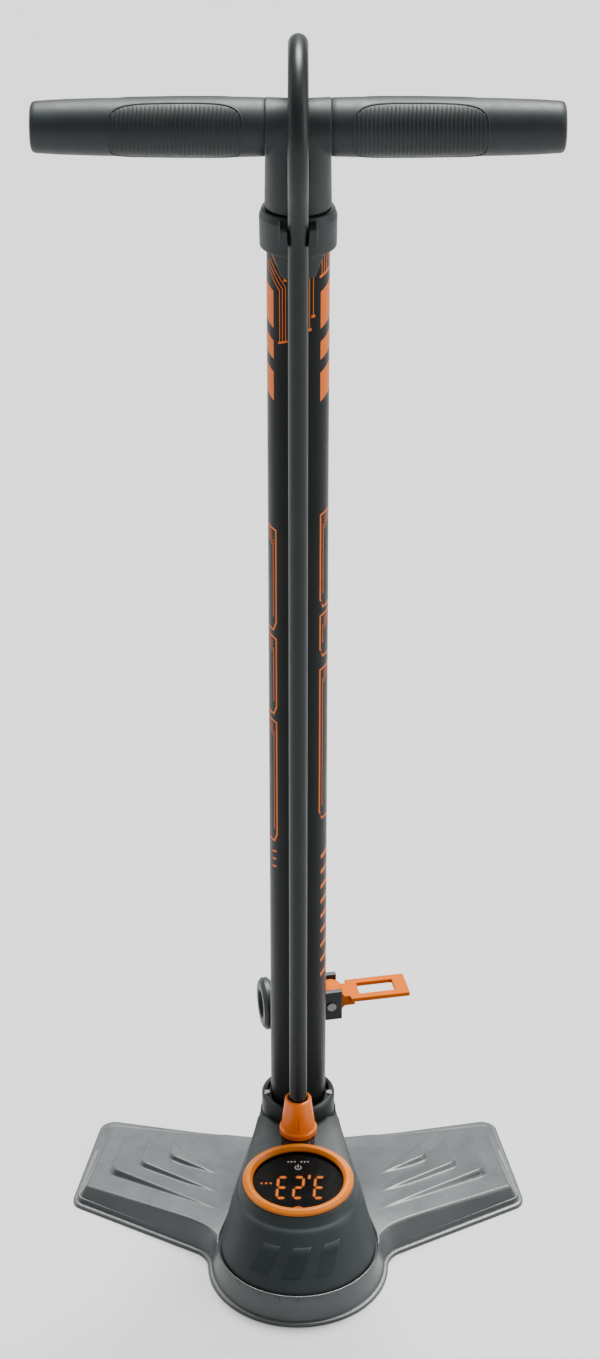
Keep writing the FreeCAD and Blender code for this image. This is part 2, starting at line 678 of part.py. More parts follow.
nut_hex = primitive("Prism", "nut_hex", (0, 0, S["barrel_foot"] + 1), Polygon=6, Circumradius=5.8,
                    Height=S["piston_foot"] - S["barrel_foot"] - 1 - GAP)
nut_hole = post("nut_hole", ROD_NECK + GAP, 10, (0, 0, S["barrel_foot"] - 2))
keep(place(cut("nut_body", nut_hex, [nut_hole]), 0, BARREL_Y), "piston_nut")
keep(ring("buffer_ring", S["rod_radius"] + GAP, 9, PISTON_TOP + 0.1, PISTON_TOP + 8), "stroke_buffer")

HUB_FOOT = S["collar_top"] + 0.4
BOLT_RADIUS = 3
NECK_TOP = S["handle_height"] - 15
BOLT_SEAT = S["handle_height"] + S["core_radius"] + 0.1
hub_neck = primitive("Cone", "hub_neck", (0, 0, HUB_FOOT), Radius1=S["neck_radius"],
                     Radius2=S["neck_radius"] + 0.6, Height=NECK_TOP - HUB_FOOT)
hub_middle = post("hub_middle", 13.5, 18, (0, 0, NECK_TOP - 3))
hub_end = (-S["hub_half"], 0, S["handle_height"])
hub_bar = post("hub_bar", S["hub_radius"], 2 * S["hub_half"], hub_end, ALONG_X)
hub_body = fuse("hub_body", [hub_neck, hub_middle, hub_bar])
hub_holes = [
    post("hub_tube_hole", S["core_radius"] + GAP, 60, (-30, 0, S["handle_height"]), ALONG_X),
    post("hub_rod_hole", ROD_HOLE, ROD_HEAD + GAP - HUB_FOOT + 1, (0, 0, HUB_FOOT - 1)),
    post("hub_bolt_hole", BOLT_RADIUS + GAP, 40, (0, 0, S["handle_height"] - 20)),
    post("hub_bolt_seat", 5.3, 10, (0, 0, BOLT_SEAT - 0.1)),
]
keep(place(cut("hub_cut", hub_body, hub_holes), 0, BARREL_Y), "handle_hub")

core_reach = S["handle_reach"] - 4.4
core_tube = ring("core_tube", S["core_radius"] - 1.5, S["core_radius"], 0, 2 * core_reach,
                 y=0, x=-core_reach, z=S["handle_height"], turn=ALONG_X)
core_hole = post("core_hole", BOLT_RADIUS + GAP, 40, (0, 0, S["handle_height"] - 20))
keep(place(cut("core_cut", core_tube, [core_hole]), 0, BARREL_Y), "handle_tube")

bolt_shank = post("bolt_shank", BOLT_RADIUS, BOLT_SEAT - ROD_HEAD + 12, (0, 0, ROD_HEAD - 12))
bolt_head = post("bolt_head", 5, 3, (0, 0, BOLT_SEAT))
socket_at = (0, 0, BOLT_SEAT + 0.8)
bolt_socket = primitive("Prism", "bolt_socket", socket_at, Polygon=6, Circumradius=2.9, Height=4)
bolt_body = fuse("bolt_body", [bolt_shank, bolt_head])
keep(place(cut("bolt_cut", bolt_body, [bolt_socket]), 0, BARREL_Y), "handle_bolt")

GRIP_START = S["hub_half"] + 0.1
GRIP_PROFILE = [
    (S["core_radius"] + GAP, GRIP_START), (S["grip_radius"] - 0.4, GRIP_START),
    (S["grip_radius"], GRIP_START + 14), (S["grip_radius"] - 0.1, GRIP_START + 44),
    (S["grip_radius"] - 0.7, GRIP_START + 84),
    (S["grip_end_radius"], S["handle_reach"] - 3), (S["grip_end_radius"] - 1.6, S["handle_reach"]),
    (0, S["handle_reach"]), (0, S["handle_reach"] - 4.3), (S["core_radius"] + GAP, S["handle_reach"] - 4.3),
]
for side, turn in (("left", ALONG_MINUS_X), ("right", ALONG_X)):
    keep(turned("grip_body_" + side, GRIP_PROFILE, z=S["handle_height"], turn=turn), "grip_" + side)

# ---------------------------------------------------------------- gauge

BEZEL_SEAT = S["housing_top"]
keep(turned("bezel_body", [
    (28.3, BEZEL_SEAT - 4), (29.9, BEZEL_SEAT - 4), (29.9, BEZEL_SEAT + GAP),
    (S["gauge_radius"], BEZEL_SEAT + GAP),
    (S["gauge_radius"] - 0.6, BEZEL_SEAT + 1.4), (S["window_radius"] + 2.4, BEZEL_SEAT + 3),
    (S["window_radius"] + 1.6, BEZEL_SEAT + 3), (S["window_radius"], BEZEL_SEAT + 0.6),
    (S["window_radius"], BEZEL_SEAT), (28.3, BEZEL_SEAT),
], y=BARREL_Y + S["gauge_y"]), "gauge_bezel")


def gauge_disc(name, radius, low, high):
    return ring(name, 0, radius, low, high, y=BARREL_Y + S["gauge_y"])


keep(gauge_disc("lens_disc", 28.2, BEZEL_SEAT - 1.4, BEZEL_SEAT - GAP), "gauge_lens")
keep(gauge_disc("display_disc", 27.5, BEZEL_SEAT - 3.2, BEZEL_SEAT - 1.5), "display_panel")
board_disc = gauge_disc("board_disc", 28, BEZEL_SEAT - 6.4, BEZEL_SEAT - 4.8)
BOARD_BACK = BARREL_Y + S["gauge_y"] + 30
board_notch = block("board_notch", (-4, BOARD_BACK - 6, BEZEL_SEAT - 8), (4, BOARD_BACK, BEZEL_SEAT))
keep(cut("board_cut", board_disc, [board_notch]), "circuit_board")
CASE_LOW = 36
keep(turned("case_body", [
    (0, CASE_LOW), (29.8, CASE_LOW), (29.8, BEZEL_SEAT - 4.2), (28.2, BEZEL_SEAT - 4.2),
    (28.2, BEZEL_SEAT - 6.5),
    (25.5, BEZEL_SEAT - 6.5), (25.5, CASE_LOW + 1.8), (0, CASE_LOW + 1.8),
], y=BARREL_Y + S["gauge_y"]), "gauge_case")
CELL_Y = BARREL_Y + S["gauge_y"] - 8
keep(ring("cell", 0, 10, CASE_LOW + 2, CASE_LOW + 5.2, y=CELL_Y), "battery")
keep(ring("cell_clip", 0, 9, CASE_LOW + 5.4, CASE_LOW + 5.9, y=CELL_Y), "battery_contact")
SENSOR_Y = BARREL_Y - 54
sensor_box = block("sensor_box", (-4, SENSOR_Y - 5, CASE_LOW - 9), (4, SENSOR_Y + 4, CASE_LOW - 0.1))
keep(sensor_box, "pressure_sensor")
keep(ring("sensor_tube_body", 1, 2.4, 0, 16.4, y=BARREL_Y - 33.2, z=30, turn=ALONG_MINUS_Y), "sensor_tube")

# ---------------------------------------------------------------- hose

BARB_SEAT = S["housing_top"] - 4 + GAP
BARB_TOP = S["hose_foot"] - GAP
keep(turned("barb_body", [
    (1.5, 32), (3, 32), (3, BARB_SEAT), (4.4, BARB_SEAT), (4.4, S["housing_top"] + 2),
    (3.2, S["housing_top"] + 2), (3.2, BARB_TOP), (1.5, BARB_TOP),
], y=BARREL_Y - S["hose_y"]), "hose_barb")
gland_body = turned("gland_body", [
    (S["hose_radius"] + GAP, S["gland_foot"] + 0.1), (10.9, S["gland_foot"] + 0.1),
    (10.9, S["gland_foot"] + 3.4), (10.2, S["gland_foot"] + 5), (9, S["gland_top"] - 1),
    (8.4, S["gland_top"]), (S["hose_radius"] + GAP, S["gland_top"]),
], y=-S["hose_y"])
# its back is hollowed where it stands against the housing's ring and the barrel
RING_ABOVE = S["clamp_top"] - S["gland_foot"] + 0.1
ring_hollow = post("ring_hollow", S["clamp_radius"] + 0.1, RING_ABOVE, (0, 0, S["gland_foot"]))
barrel_hollow = post("barrel_hollow", S["barrel_radius"] + 0.1, 40, (0, 0, S["gland_foot"]))
keep(place(cut("gland_cut", gland_body, [ring_hollow, barrel_hollow]), 0, BARREL_Y), "hose_gland")

# The hose stands up the front of the barrel, loops over the handle and hangs down the back.
# Each point is (behind the barrel's axis, height).
HOSE_ROUTE = [
    (-26, 60.6), (-25.2, 607.8), (-42, 645.5), (-35.5, 672.5), (-14, 690),
    (14, 690), (35.5, 672.5), (42, 645.5), (25.2, 607.8), (28, 120.6),
]
LOOP_FOOT = 585
# share of the shorter run that an arc takes at each end
ARC_SHARE = 0.45


def hose_edges(route):
    """The hose's middle line as straight runs joined by tangent arcs, with each arc's radius."""
    points = [V(0, y, z) for y, z in route]
    edges = []
    radii = []
    here = points[0]
    for before, corner, after in zip(points, points[1:], points[2:]):
        back = before - corner
        on = after - corner
        reach = ARC_SHARE * min(back.Length, on.Length)
        half_turn = (math.pi - back.getAngle(on)) / 2
        radius = reach / math.tan(half_turn)
        arc = round_corner(before, corner, after, radius)
        edges.append(Part.LineSegment(here, arc[0]))
        edges.append(Part.Arc(*arc))
        radii.append(radius)
        here = arc[2]
    edges.append(Part.LineSegment(here, points[-1]))
    return edges, radii


def split_at(line, height):
    """Part a straight run in two at a height."""
    share = (height - line.StartPoint.z) / (line.EndPoint.z - line.StartPoint.z)
    middle = line.StartPoint + (line.EndPoint - line.StartPoint) * share
    return Part.LineSegment(line.StartPoint, middle), Part.LineSegment(middle, line.EndPoint)


def make_hose(name, edges):
    """A plain round tube along some of the hose's edges."""
    path = Part.Wire([edge.toShape() for edge in edges])
    start = edges[0].StartPoint
    way = (edges[0].EndPoint - start).normalize()
    radius = number(S["hose_radius"])
    section = Part.Wire(Part.makeCircle(radius, start, way))
    tube = doc.addObject("Part::Feature", name)
    tube.Shape = path.makePipeShell([section], True, True)
    expected = math.pi * radius ** 2 * path.Length
    report = "%s: length %.1f, volume %.0f, section times length %.0f"
    print(report % (name, path.Length, tube.Shape.Volume, expected))
    return place(tube, 0, BARREL_Y)


route_edges, route_radii = hose_edges(HOSE_ROUTE)
print("hose arcs:", ", ".join("%.1f" % radius for radius in route_radii))
front_run, front_rest = split_at(route_edges[0], LOOP_FOOT)
rear_rest, rear_run = split_at(route_edges[-1], LOOP_FOOT)
keep(make_hose("front_hose", [front_run]), "hose_front_run")
keep(make_hose("loop_hose", [front_rest] + route_edges[1:-1] + [rear_rest]), "hose_loop")
keep(make_hose("rear_hose", [rear_run]), "hose_rear_run")

# ---------------------------------------------------------------- valve head
# Drawn about its own axis: -X is the mouth, +X the lever, then turned and placed behind the barrel.

HEAD_TURN = FreeCAD.Rotation(V(0, 0, 1), number(S["head_yaw"]))


def place_head(feature):
    return place(feature, 0, BARREL_Y + S["head_y"], S["head_height"], HEAD_TURN)


def place_mouth(feature):
    """Place a piece turned about its own axis so that it points out of the mouth."""
    return place(feature, 0, BARREL_Y + S["head_y"], S["head_height"], HEAD_TURN.multiply(ALONG_MINUS_X))


HEAD_RADIUS = 10.5
MOUTH_FACE = 13
PLUNGER_TRAVEL = 2
PIN_RADIUS = 2
CHEEK_INNER = 7.2
CHEEK_OUTER = 10.8
barrel_of_head = post("head_barrel", HEAD_RADIUS, MOUTH_FACE + 10, (10, 0, 0), ALONG_MINUS_X)
hose_boss = post("hose_boss", 8, 16, (0, 0, 0))
cheeks = []
for low_y, high_y in ((-CHEEK_OUTER, -CHEEK_INNER), (CHEEK_INNER, CHEEK_OUTER)):
    cheek = block("cheek", (6, low_y, -9.8), (24.5, high_y, 9.8))
    cheeks.append(cheek)
head_solid = fuse("head_solid", [barrel_of_head, hose_boss] + cheeks)
plunger_bore = post("plunger_bore", 4.05, 40, (15, 0, 0), ALONG_MINUS_X)
plunger_room = post("plunger_room", 9, 10, (-9, 0, 0), ALONG_MINUS_X)
air_inlet = post("air_inlet", 2, 20, (0, 0, 3))
pin_hole = post("pin_hole", PIN_RADIUS + 0.02, 30, (S["lever_pivot"], -15, 0), ALONG_Y)
keep(place_head(cut("head_cut", head_solid, [plunger_bore, plunger_room, air_inlet, pin_hole])), "head_body")

keep(place_mouth(turned("cap_body", [
    (HEAD_RADIUS + GAP, 9.5), (11.6, 9.5), (12.4, 14.5), (15.5, 17.6), (15.5, 20.6), (13.4, 22.5),
    (8.6, 22.5),
    (7.6, 20.3), (9.1, 20.3), (9.1, MOUTH_FACE + 0.1), (HEAD_RADIUS + GAP, MOUTH_FACE + 0.1),
], y=0)), "head_cap")
keep(place_mouth(ring("grommet_body", 3.95, 9, MOUTH_FACE + 0.2, 18.4, y=0)), "valve_grommet")
keep(place_mouth(ring("mouth_ring", 4.4, 9, 18.5, 20.2, y=0)), "valve_ring")
keep(place_mouth(turned("plunger_body", [
    (0, -12.2), (4, -12.2), (4, 9.3), (8.9, 9.3), (8.9, 10.8), (2.6, 10.8), (2.6, 10.0), (0, 10.0),
], y=0)), "head_plunger")
pin_shank = post("pin_shank", PIN_RADIUS, 2 * CHEEK_OUTER, (S["lever_pivot"], -CHEEK_OUTER, 0), ALONG_Y)
pin_head = post("pin_head", PIN_RADIUS + 0.7, 0.8, (S["lever_pivot"], -CHEEK_OUTER - 0.8 - GAP, 0), ALONG_Y)
pin_neck = post("pin_neck", PIN_RADIUS, 0.5, (S["lever_pivot"], -CHEEK_OUTER - 0.2, 0), ALONG_Y)
keep(place_head(fuse("pin_body", [pin_shank, pin_head, pin_neck])), "lever_pin")

LEVER_THICKNESS = 2.8
ROOT_HALF_WIDTH = 6.8
root_at = (S["lever_pivot"] + PLUNGER_TRAVEL, -ROOT_HALF_WIDTH, 0)
lever_root = post("lever_root", 7.5, 2 * ROOT_HALF_WIDTH, root_at, ALONG_Y)
lever_arm = block("lever_arm", (S["lever_pivot"], -ROOT_HALF_WIDTH, -3.4),
                  (S["lever_pivot"] + 15, ROOT_HALF_WIDTH, 3.4))
paddle = block("paddle", (S["lever_pivot"] + 12, -S["lever_width"] / 2, 3.4 - LEVER_THICKNESS),
               (S["lever_reach"], S["lever_width"] / 2, 3.4))
lever_slot = block("lever_slot", (36, -5.2, -5), (57.5, 5.2, 8))
lever_hole = post("lever_hole", PIN_RADIUS + GAP, 30, (S["lever_pivot"], -15, 0), ALONG_Y)
lever_solid = fuse("lever_solid", [lever_root, lever_arm, paddle])
keep(place_head(cut("lever_cut", lever_solid, [lever_slot, lever_hole])), "valve_lever")
keep(place_head(turned("ferrule_body", [
    (S["hose_radius"] + 0.2, 16.1), (7.8, 16.1), (7.8, 19), (6.6, 29.5), (S["hose_radius"] + 0.2, 29.5),
], y=0)), "hose_ferrule")

# ---------------------------------------------------------------- check and write

doc.recompute()
for feature in doc.Objects:
    if "Invalid" in feature.State or "Error" in feature.State:
        raise RuntimeError("%s did not rebuild: %s" % (feature.Name, feature.State))
for feature in PARTS:
    if feature.Shape.isNull() or not feature.Shape.isValid():
        raise RuntimeError("%s has no valid shape" % feature.Label)
os.makedirs("parts", exist_ok=True)
for feature in PARTS:
    feature.Shape.exportStep("parts/%s.step" % feature.Label)
print("%d sub-parts written" % len(PARTS))
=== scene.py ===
import math

import bmesh
import bpy
import numpy as np
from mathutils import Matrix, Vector
from mathutils.geometry import delaunay_2d_cdt


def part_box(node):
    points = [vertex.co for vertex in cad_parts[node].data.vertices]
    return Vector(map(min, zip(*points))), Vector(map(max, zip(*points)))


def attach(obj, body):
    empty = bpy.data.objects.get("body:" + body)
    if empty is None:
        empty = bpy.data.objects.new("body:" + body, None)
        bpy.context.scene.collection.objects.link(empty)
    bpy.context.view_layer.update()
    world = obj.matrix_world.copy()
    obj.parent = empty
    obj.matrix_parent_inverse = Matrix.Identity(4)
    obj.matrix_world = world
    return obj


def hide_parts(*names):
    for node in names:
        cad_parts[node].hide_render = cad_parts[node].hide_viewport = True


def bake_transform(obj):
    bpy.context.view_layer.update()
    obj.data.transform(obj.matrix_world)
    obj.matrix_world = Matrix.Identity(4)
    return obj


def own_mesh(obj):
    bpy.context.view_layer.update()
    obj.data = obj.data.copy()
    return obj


bl_info = {
    "name": "Floor Pump",
    "version": (1, 0, 0),
    "blender": (4, 5, 0),
    "location": "View3D > Sidebar > Floor Pump",
    "description": "Builds a floor bike pump with a digital gauge around its packed frame",
    "category": "Add Mesh",
}

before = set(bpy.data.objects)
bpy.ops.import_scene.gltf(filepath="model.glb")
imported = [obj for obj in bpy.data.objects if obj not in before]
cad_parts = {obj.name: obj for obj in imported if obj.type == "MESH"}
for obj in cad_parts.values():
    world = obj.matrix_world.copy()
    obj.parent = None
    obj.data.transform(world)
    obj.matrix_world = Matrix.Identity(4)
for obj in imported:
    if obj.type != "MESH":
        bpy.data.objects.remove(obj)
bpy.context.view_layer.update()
MM = 0.001
WELD = 1e-7
AXIS_Y = (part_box("barrel")[0][1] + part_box("barrel")[1][1]) / 2 / MM
GAUGE_Y = (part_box("gauge_bezel")[0][1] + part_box("gauge_bezel")[1][1]) / 2 / MM - AXIS_Y
DECK_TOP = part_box("gauge_bezel")[0][2] / MM + 4
GRIP_HEIGHT = (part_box("grip_left")[0][2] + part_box("grip_left")[1][2]) / 2 / MM
HANDLE_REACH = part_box("grip_right")[1][0] / MM

# Shapes below are written in millimetres about the barrel's axis, and made in metres in the frame.


# ---------------------------------------------------------------- materials

def shader(name, colour, **sockets):
    """A new material, its node tree, its Principled shader and its Object coordinates."""
    material = bpy.data.materials.new(name)
    material.use_nodes = True
    tree = material.node_tree
    principled = tree.nodes["Principled BSDF"]
    principled.inputs["Base Color"].default_value = (*colour, 1)
    for socket, value in sockets.items():
        principled.inputs[socket.replace("_", " ")].default_value = value
    coordinates = tree.nodes.new("ShaderNodeTexCoord").outputs["Object"]
    return material, tree, principled, coordinates


def noise(tree, vector, scale, detail=3.0, roughness=0.5):
    node = tree.nodes.new("ShaderNodeTexNoise")
    node.inputs["Scale"].default_value = scale
    node.inputs["Detail"].default_value = detail
    node.inputs["Roughness"].default_value = roughness
    tree.links.new(vector, node.inputs["Vector"])
    return node.outputs["Fac"]


def spread(tree, value, low, high, from_low=0.3, from_high=0.7):
    """Map a texture's middle range onto two limits."""
    node = tree.nodes.new("ShaderNodeMapRange")
    node.inputs["From Min"].default_value = from_low
    node.inputs["From Max"].default_value = from_high
    node.inputs["To Min"].default_value = low
    node.inputs["To Max"].default_value = high
    tree.links.new(value, node.inputs["Value"])
    return node.outputs["Result"]


def tint(tree, factor, colour_one, colour_two):
    node = tree.nodes.new("ShaderNodeMix")
    node.data_type = "RGBA"
    node.inputs[6].default_value = (*colour_one, 1)
    node.inputs[7].default_value = (*colour_two, 1)
    tree.links.new(factor, node.inputs["Factor"])
    return node.outputs[2]


def relief(tree, principled, height, strength, distance):
    node = tree.nodes.new("ShaderNodeBump")
    node.inputs["Strength"].default_value = strength
    node.inputs["Distance"].default_value = distance
    tree.links.new(height, node.inputs["Height"])
    tree.links.new(node.outputs["Normal"], principled.inputs["Normal"])


def moulded(name, colour, roughness, grain, depth, mottle=0.12, **sockets):
    """Moulded plastic or rubber: a fine grain, a slow mottle in colour and polish, and faint rub marks."""
    material, tree, principled, here = shader(name, colour, **sockets)
    slow = noise(tree, here, 38, 4)
    rubbed = noise(tree, here, 210, 5, 0.7)
    fine = noise(tree, here, grain, 2)
    pale = [min(1, c * (1 + mottle) + 0.002) for c in colour]
    deep = [c * (1 - mottle) for c in colour]
    links = tree.links
    links.new(tint(tree, spread(tree, slow, 0, 1), deep, pale), principled.inputs["Base Color"])
    mixed = tree.nodes.new("ShaderNodeMath")
    mixed.operation = "ADD"
    links.new(spread(tree, slow, -0.03, 0.03), mixed.inputs[0])
    links.new(spread(tree, rubbed, roughness - 0.04, roughness + 0.05), mixed.inputs[1])
    links.new(mixed.outputs[0], principled.inputs["Roughness"])
    relief(tree, principled, fine, depth, 0.0002)
    return material


def metal(name, colour, roughness, stretch, scratch=0.25):
    """Bright metal with fine marks drawn out along one direction."""
    material, tree, principled, here = shader(name, colour, Metallic=1.0)
    mapping = tree.nodes.new("ShaderNodeMapping")
    mapping.inputs["Scale"].default_value = stretch
    tree.links.new(here, mapping.inputs["Vector"])
    drawn = noise(tree, mapping.outputs["Vector"], 900, 3, 0.6)
    dull = noise(tree, here, 90, 4)
    pale = [min(1, c * 1.06) for c in colour]
    tree.links.new(tint(tree, spread(tree, dull, 0, 1), [c * 0.86 for c in colour], pale),
                   principled.inputs["Base Color"])
    tree.links.new(spread(tree, drawn, roughness, roughness + 0.14), principled.inputs["Roughness"])
    relief(tree, principled, drawn, scratch, 0.00005)
    return material


def display_glow(name, colour, strength):
    """Lit segments under the lens: a lamp colour with a slight unevenness."""
    material, tree, principled, here = shader(name, colour, Roughness=0.5, Specular_IOR_Level=0.05)
    principled.inputs["Emission Strength"].default_value = strength
    uneven = spread(tree, noise(tree, here, 400, 2), 0, 1)
    lit = tint(tree, uneven, [c * 0.86 for c in colour], colour)
    tree.links.new(lit, principled.inputs["Emission Color"])
    unlit = tint(tree, uneven, *[[c * shade for c in colour] for shade in UNLIT_SHADES])
    tree.links.new(unlit, principled.inputs["Base Color"])
    return material


# These oranges are set deeper than the real part's, for the strong key light that falls on them
TOP_LIT = 0.5
LEVER_SHADE = 0.5
PRINT_SHADE = 0.72
# How dark a display mark would be with its lamp off, as shares of its colour
UNLIT_SHADES = (0.02, 0.03)


def make_finishes():
    """Every finish by its plain name."""
    colours = bpy.context.scene.floor_pump_colours
    dark = tuple(colours.dark_plastic)
    orange = tuple(colours.orange)
    return {
        "housing": moulded("housing_plastic", dark, 0.48, 2600, 0.16, Specular_IOR_Level=0.28),
        "handle": moulded("handle_plastic", dark, 0.5, 3000, 0.14, Specular_IOR_Level=0.26),
        "polished": moulded("polished_plastic", dark, 0.36, 400, 0.01, Specular_IOR_Level=0.2),
        "gloss_black": moulded("gloss_black_plastic", (0.005, 0.006, 0.006), 0.14, 700, 0.02,
                               Specular_IOR_Level=0.4),
        "foot": moulded("foot_plastic", tuple(colours.foot), 0.34, 3400, 0.06, 0.07,
                        Specular_IOR_Level=0.4, Metallic=0.15),
        "paint": moulded("barrel_paint", tuple(colours.barrel), 0.36, 900, 0.03, 0.10,
                         Specular_IOR_Level=0.1),
        "print": moulded("printed_orange", tuple(c * PRINT_SHADE for c in orange), 0.45, 1500, 0.03, 0.05,
                         Specular_IOR_Level=0.15),
        "orange": moulded("orange_plastic", orange, 0.3, 1800, 0.04, 0.06,
                          Specular_IOR_Level=0.35),
        "lever": moulded("lever_plastic", tuple(c * LEVER_SHADE for c in orange), 0.4, 1800, 0.05, 0.06,
                         Specular_IOR_Level=0.02),
        "ring": moulded("gauge_ring_paint", tuple(c * TOP_LIT for c in colours.ring), 0.3, 1800, 0.03, 0.05,
                        Specular_IOR_Level=0.15),
        "hose": moulded("hose_rubber", tuple(colours.hose), 0.4, 1500, 0.08, 0.10, Specular_IOR_Level=0.24),
        "rubber": moulded("seal_rubber", (0.018, 0.018, 0.018), 0.6, 1600, 0.15),
        "display": moulded("display_black", (0.002, 0.002, 0.002), 0.3, 500, 0.02, Specular_IOR_Level=0.02),
        "nylon": moulded("pale_nylon", (0.5, 0.5, 0.46), 0.45, 1200, 0.08),
        "board": moulded("board_green", (0.015, 0.13, 0.05), 0.3, 700, 0.05),
        "steel": metal("bright_steel", (0.3, 0.305, 0.31), 0.16, (1, 1, 0.05)),
        "dark_steel": metal("dark_steel", (0.2, 0.2, 0.2), 0.35, (1, 1, 1)),
        "screw": metal("screw_steel", (0.6, 0.61, 0.62), 0.24, (1, 1, 1)),
        "aluminium": metal("plain_aluminium", (0.72, 0.73, 0.74), 0.26, (0.05, 1, 1)),
        "brass": metal("plain_brass", (0.7, 0.5, 0.2), 0.25, (1, 1, 0.2)),
        "glow": display_glow("lit_segments", (1.0, 0.22, 0.01), 1.0),
        "lamp_white": display_glow("white_marks", (0.9, 0.9, 0.9), 0.5),
        "lens": lens_glass(),
    }


def lens_glass():
    """A clear cover that is mostly seen through, with a faint haze."""
    material, tree, principled, here = shader(
        "lens_glass", (1, 1, 1), Transmission_Weight=1.0, IOR=1.1, Roughness=0.0, Alpha=0.25,
    )
    haze = spread(tree, noise(tree, here, 160, 4), 0.0, 0.02)
    tree.links.new(haze, principled.inputs["Roughness"])
    return material


FINISH = {}
NODE_FINISH = {
    "dark_steel": ("lever_pin", "handle_bolt"),
    "nylon": ("air_block", "guide_bush", "piston", "valve_poppet", "head_plunger"),
    "rubber": ("barrel_seal", "piston_seal", "rod_wiper", "valve_grommet", "stroke_buffer", "sensor_tube"),
    "steel": ("piston_rod", "battery", "battery_contact", "pressure_sensor"),
    "screw": ("block_screws", "housing_screws", "clamp_screws", "piston_nut"),
    "aluminium": ("handle_tube", "valve_ring"),
    "brass": ("hose_barb",),
    "board": ("circuit_board",),
    "display": ("display_panel",),
    "lens": ("gauge_lens",),
    "housing": ("gauge_case", "valve_plug"),
}


# ---------------------------------------------------------------- mesh making

def in_frame(name, vertices, faces):
    """A welded mesh in metres in the frame, from corners in millimetres about the barrel's axis."""
    mesh = bpy.data.meshes.new(name)
    mesh.from_pydata([(x * MM, (y + AXIS_Y) * MM, z * MM) for x, y, z in vertices], [], faces)
    shape = bmesh.new()
    shape.from_mesh(mesh)
    bmesh.ops.remove_doubles(shape, verts=shape.verts, dist=WELD)
    bmesh.ops.recalc_face_normals(shape, faces=shape.faces)
    shape.to_mesh(mesh)
    shape.free()
    return mesh


def add_piece(name, vertices, faces, finish, body="root", slot="dark_plastic", hides=(), crease=32):
    """Make a piece from corners in millimetres about the barrel's axis, and tie it to its body."""
    return add_mesh(name, in_frame(name, vertices, faces), finish, body, hides, crease)


def add_mesh(name, mesh, finish, body, hides=(), crease=32):
    """Give a mesh in metres its finish and body, and hide the CAD nodes that it stands for."""
    mesh.name = name
    mesh.materials.clear()
    mesh.materials.append(FINISH[finish])
    mesh.validate()
    mesh.shade_smooth()
    mesh.set_sharp_from_angle(angle=math.radians(crease))
    piece = bpy.data.objects.new(name, mesh)
    bpy.context.collection.objects.link(piece)
    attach(piece, body)
    if hides:
        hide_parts(*hides)
    return piece


def rounded(points, closed=True, steps=4):
    """Corners (x, y, radius) as an outline whose corners with a radius are arcs."""
    line = []
    count = len(points)
    for i, (x, y, radius) in enumerate(points):
        ends = not closed and i in (0, count - 1)
        if radius <= 0 or ends:
            line.append((x, y))
            continue
        corner = Vector((x, y))
        back = Vector(points[i - 1][:2]) - corner
        on = Vector(points[(i + 1) % count][:2]) - corner
        half = back.angle(on) / 2
        reach = min(radius / math.tan(half), 0.48 * back.length, 0.48 * on.length)
        start = corner + back.normalized() * reach
        end = corner + on.normalized() * reach
        for k in range(steps + 1):
            t = k / steps
            spot = start * (1 - t) ** 2 + corner * 2 * t * (1 - t) + end * t ** 2
            line.append((spot.x, spot.y))
    return line


def lathe(profile, segments=96, x=0.0, y=0.0):
    """Turn a closed profile of (radius, height) about an upright axis. A zero radius makes a pole."""
    vertices = []
    rings = []
    for radius, height in profile:
        if radius < 1e-6:
            vertices.append((x, y, height))
            rings.append([len(vertices) - 1] * segments)
            continue
        first = len(vertices)
        for i in range(segments):
            angle = math.tau * i / segments
            vertices.append((x + radius * math.cos(angle), y + radius * math.sin(angle), height))
        rings.append(list(range(first, first + segments)))
    return vertices, skin(rings, profile[0][0] > 1e-6 and profile[-1][0] > 1e-6)


def skin(rings, closed=False):
    """Faces between neighbouring rings of corner numbers, without the empty ones at a pole."""
    faces = []
    pairs = list(zip(rings, rings[1:]))
    if closed:
        pairs.append((rings[-1], rings[0]))
    for low, high in pairs:
        count = len(low)
        for i in range(count):
            j = (i + 1) % count
            corners = []
            for corner in (low[i], low[j], high[j], high[i]):
                if corner not in corners:
                    corners.append(corner)
            if len(corners) > 2:
                faces.append(corners)
    return faces


def loft(outlines, cap_low=True, cap_high=True):
    """Join outlines with the same number of corners, and close the ends."""
    vertices = [corner for outline in outlines for corner in outline]
    count = len(outlines[0])
    rings = [list(range(k * count, (k + 1) * count)) for k in range(len(outlines))]
    faces = skin(rings)
    if cap_low:
        faces.append(rings[0][::-1])
    if cap_high:
        faces.append(rings[-1])
    return vertices, faces


def joined(*solids):
    """Several (vertices, faces) as one."""
    vertices = []
    faces = []
    for solid_vertices, solid_faces in solids:
        first = len(vertices)
        vertices += solid_vertices
        faces += [[corner + first for corner in face] for face in solid_faces]
    return vertices, faces


def box_solid(low, high):
    corners = [(x, y, z) for z in (low[2], high[2]) for x, y in (
        (low[0], low[1]), (high[0], low[1]), (high[0], high[1]), (low[0], high[1]))]
    return corners, [[3, 2, 1, 0], [4, 5, 6, 7], [0, 1, 5, 4], [1, 2, 6, 5], [2, 3, 7, 6], [3, 0, 4, 7]]


def loose_object(name, solid):
    """An object that only helps to make a piece, and is removed afterwards."""
    helper = bpy.data.objects.new(name, in_frame(name, *solid))
    bpy.context.collection.objects.link(helper)
    return helper


def node_copy(name, nodes):
    """A welded copy of CAD nodes as a helper object."""
    shape = bmesh.new()
    for node in nodes:
        shape.from_mesh(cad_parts[node].data)
    bmesh.ops.remove_doubles(shape, verts=shape.verts, dist=WELD)
    mesh = bpy.data.meshes.new(name)
    shape.to_mesh(mesh)
    shape.free()
    helper = bpy.data.objects.new(name, mesh)
    bpy.context.collection.objects.link(helper)
    return helper


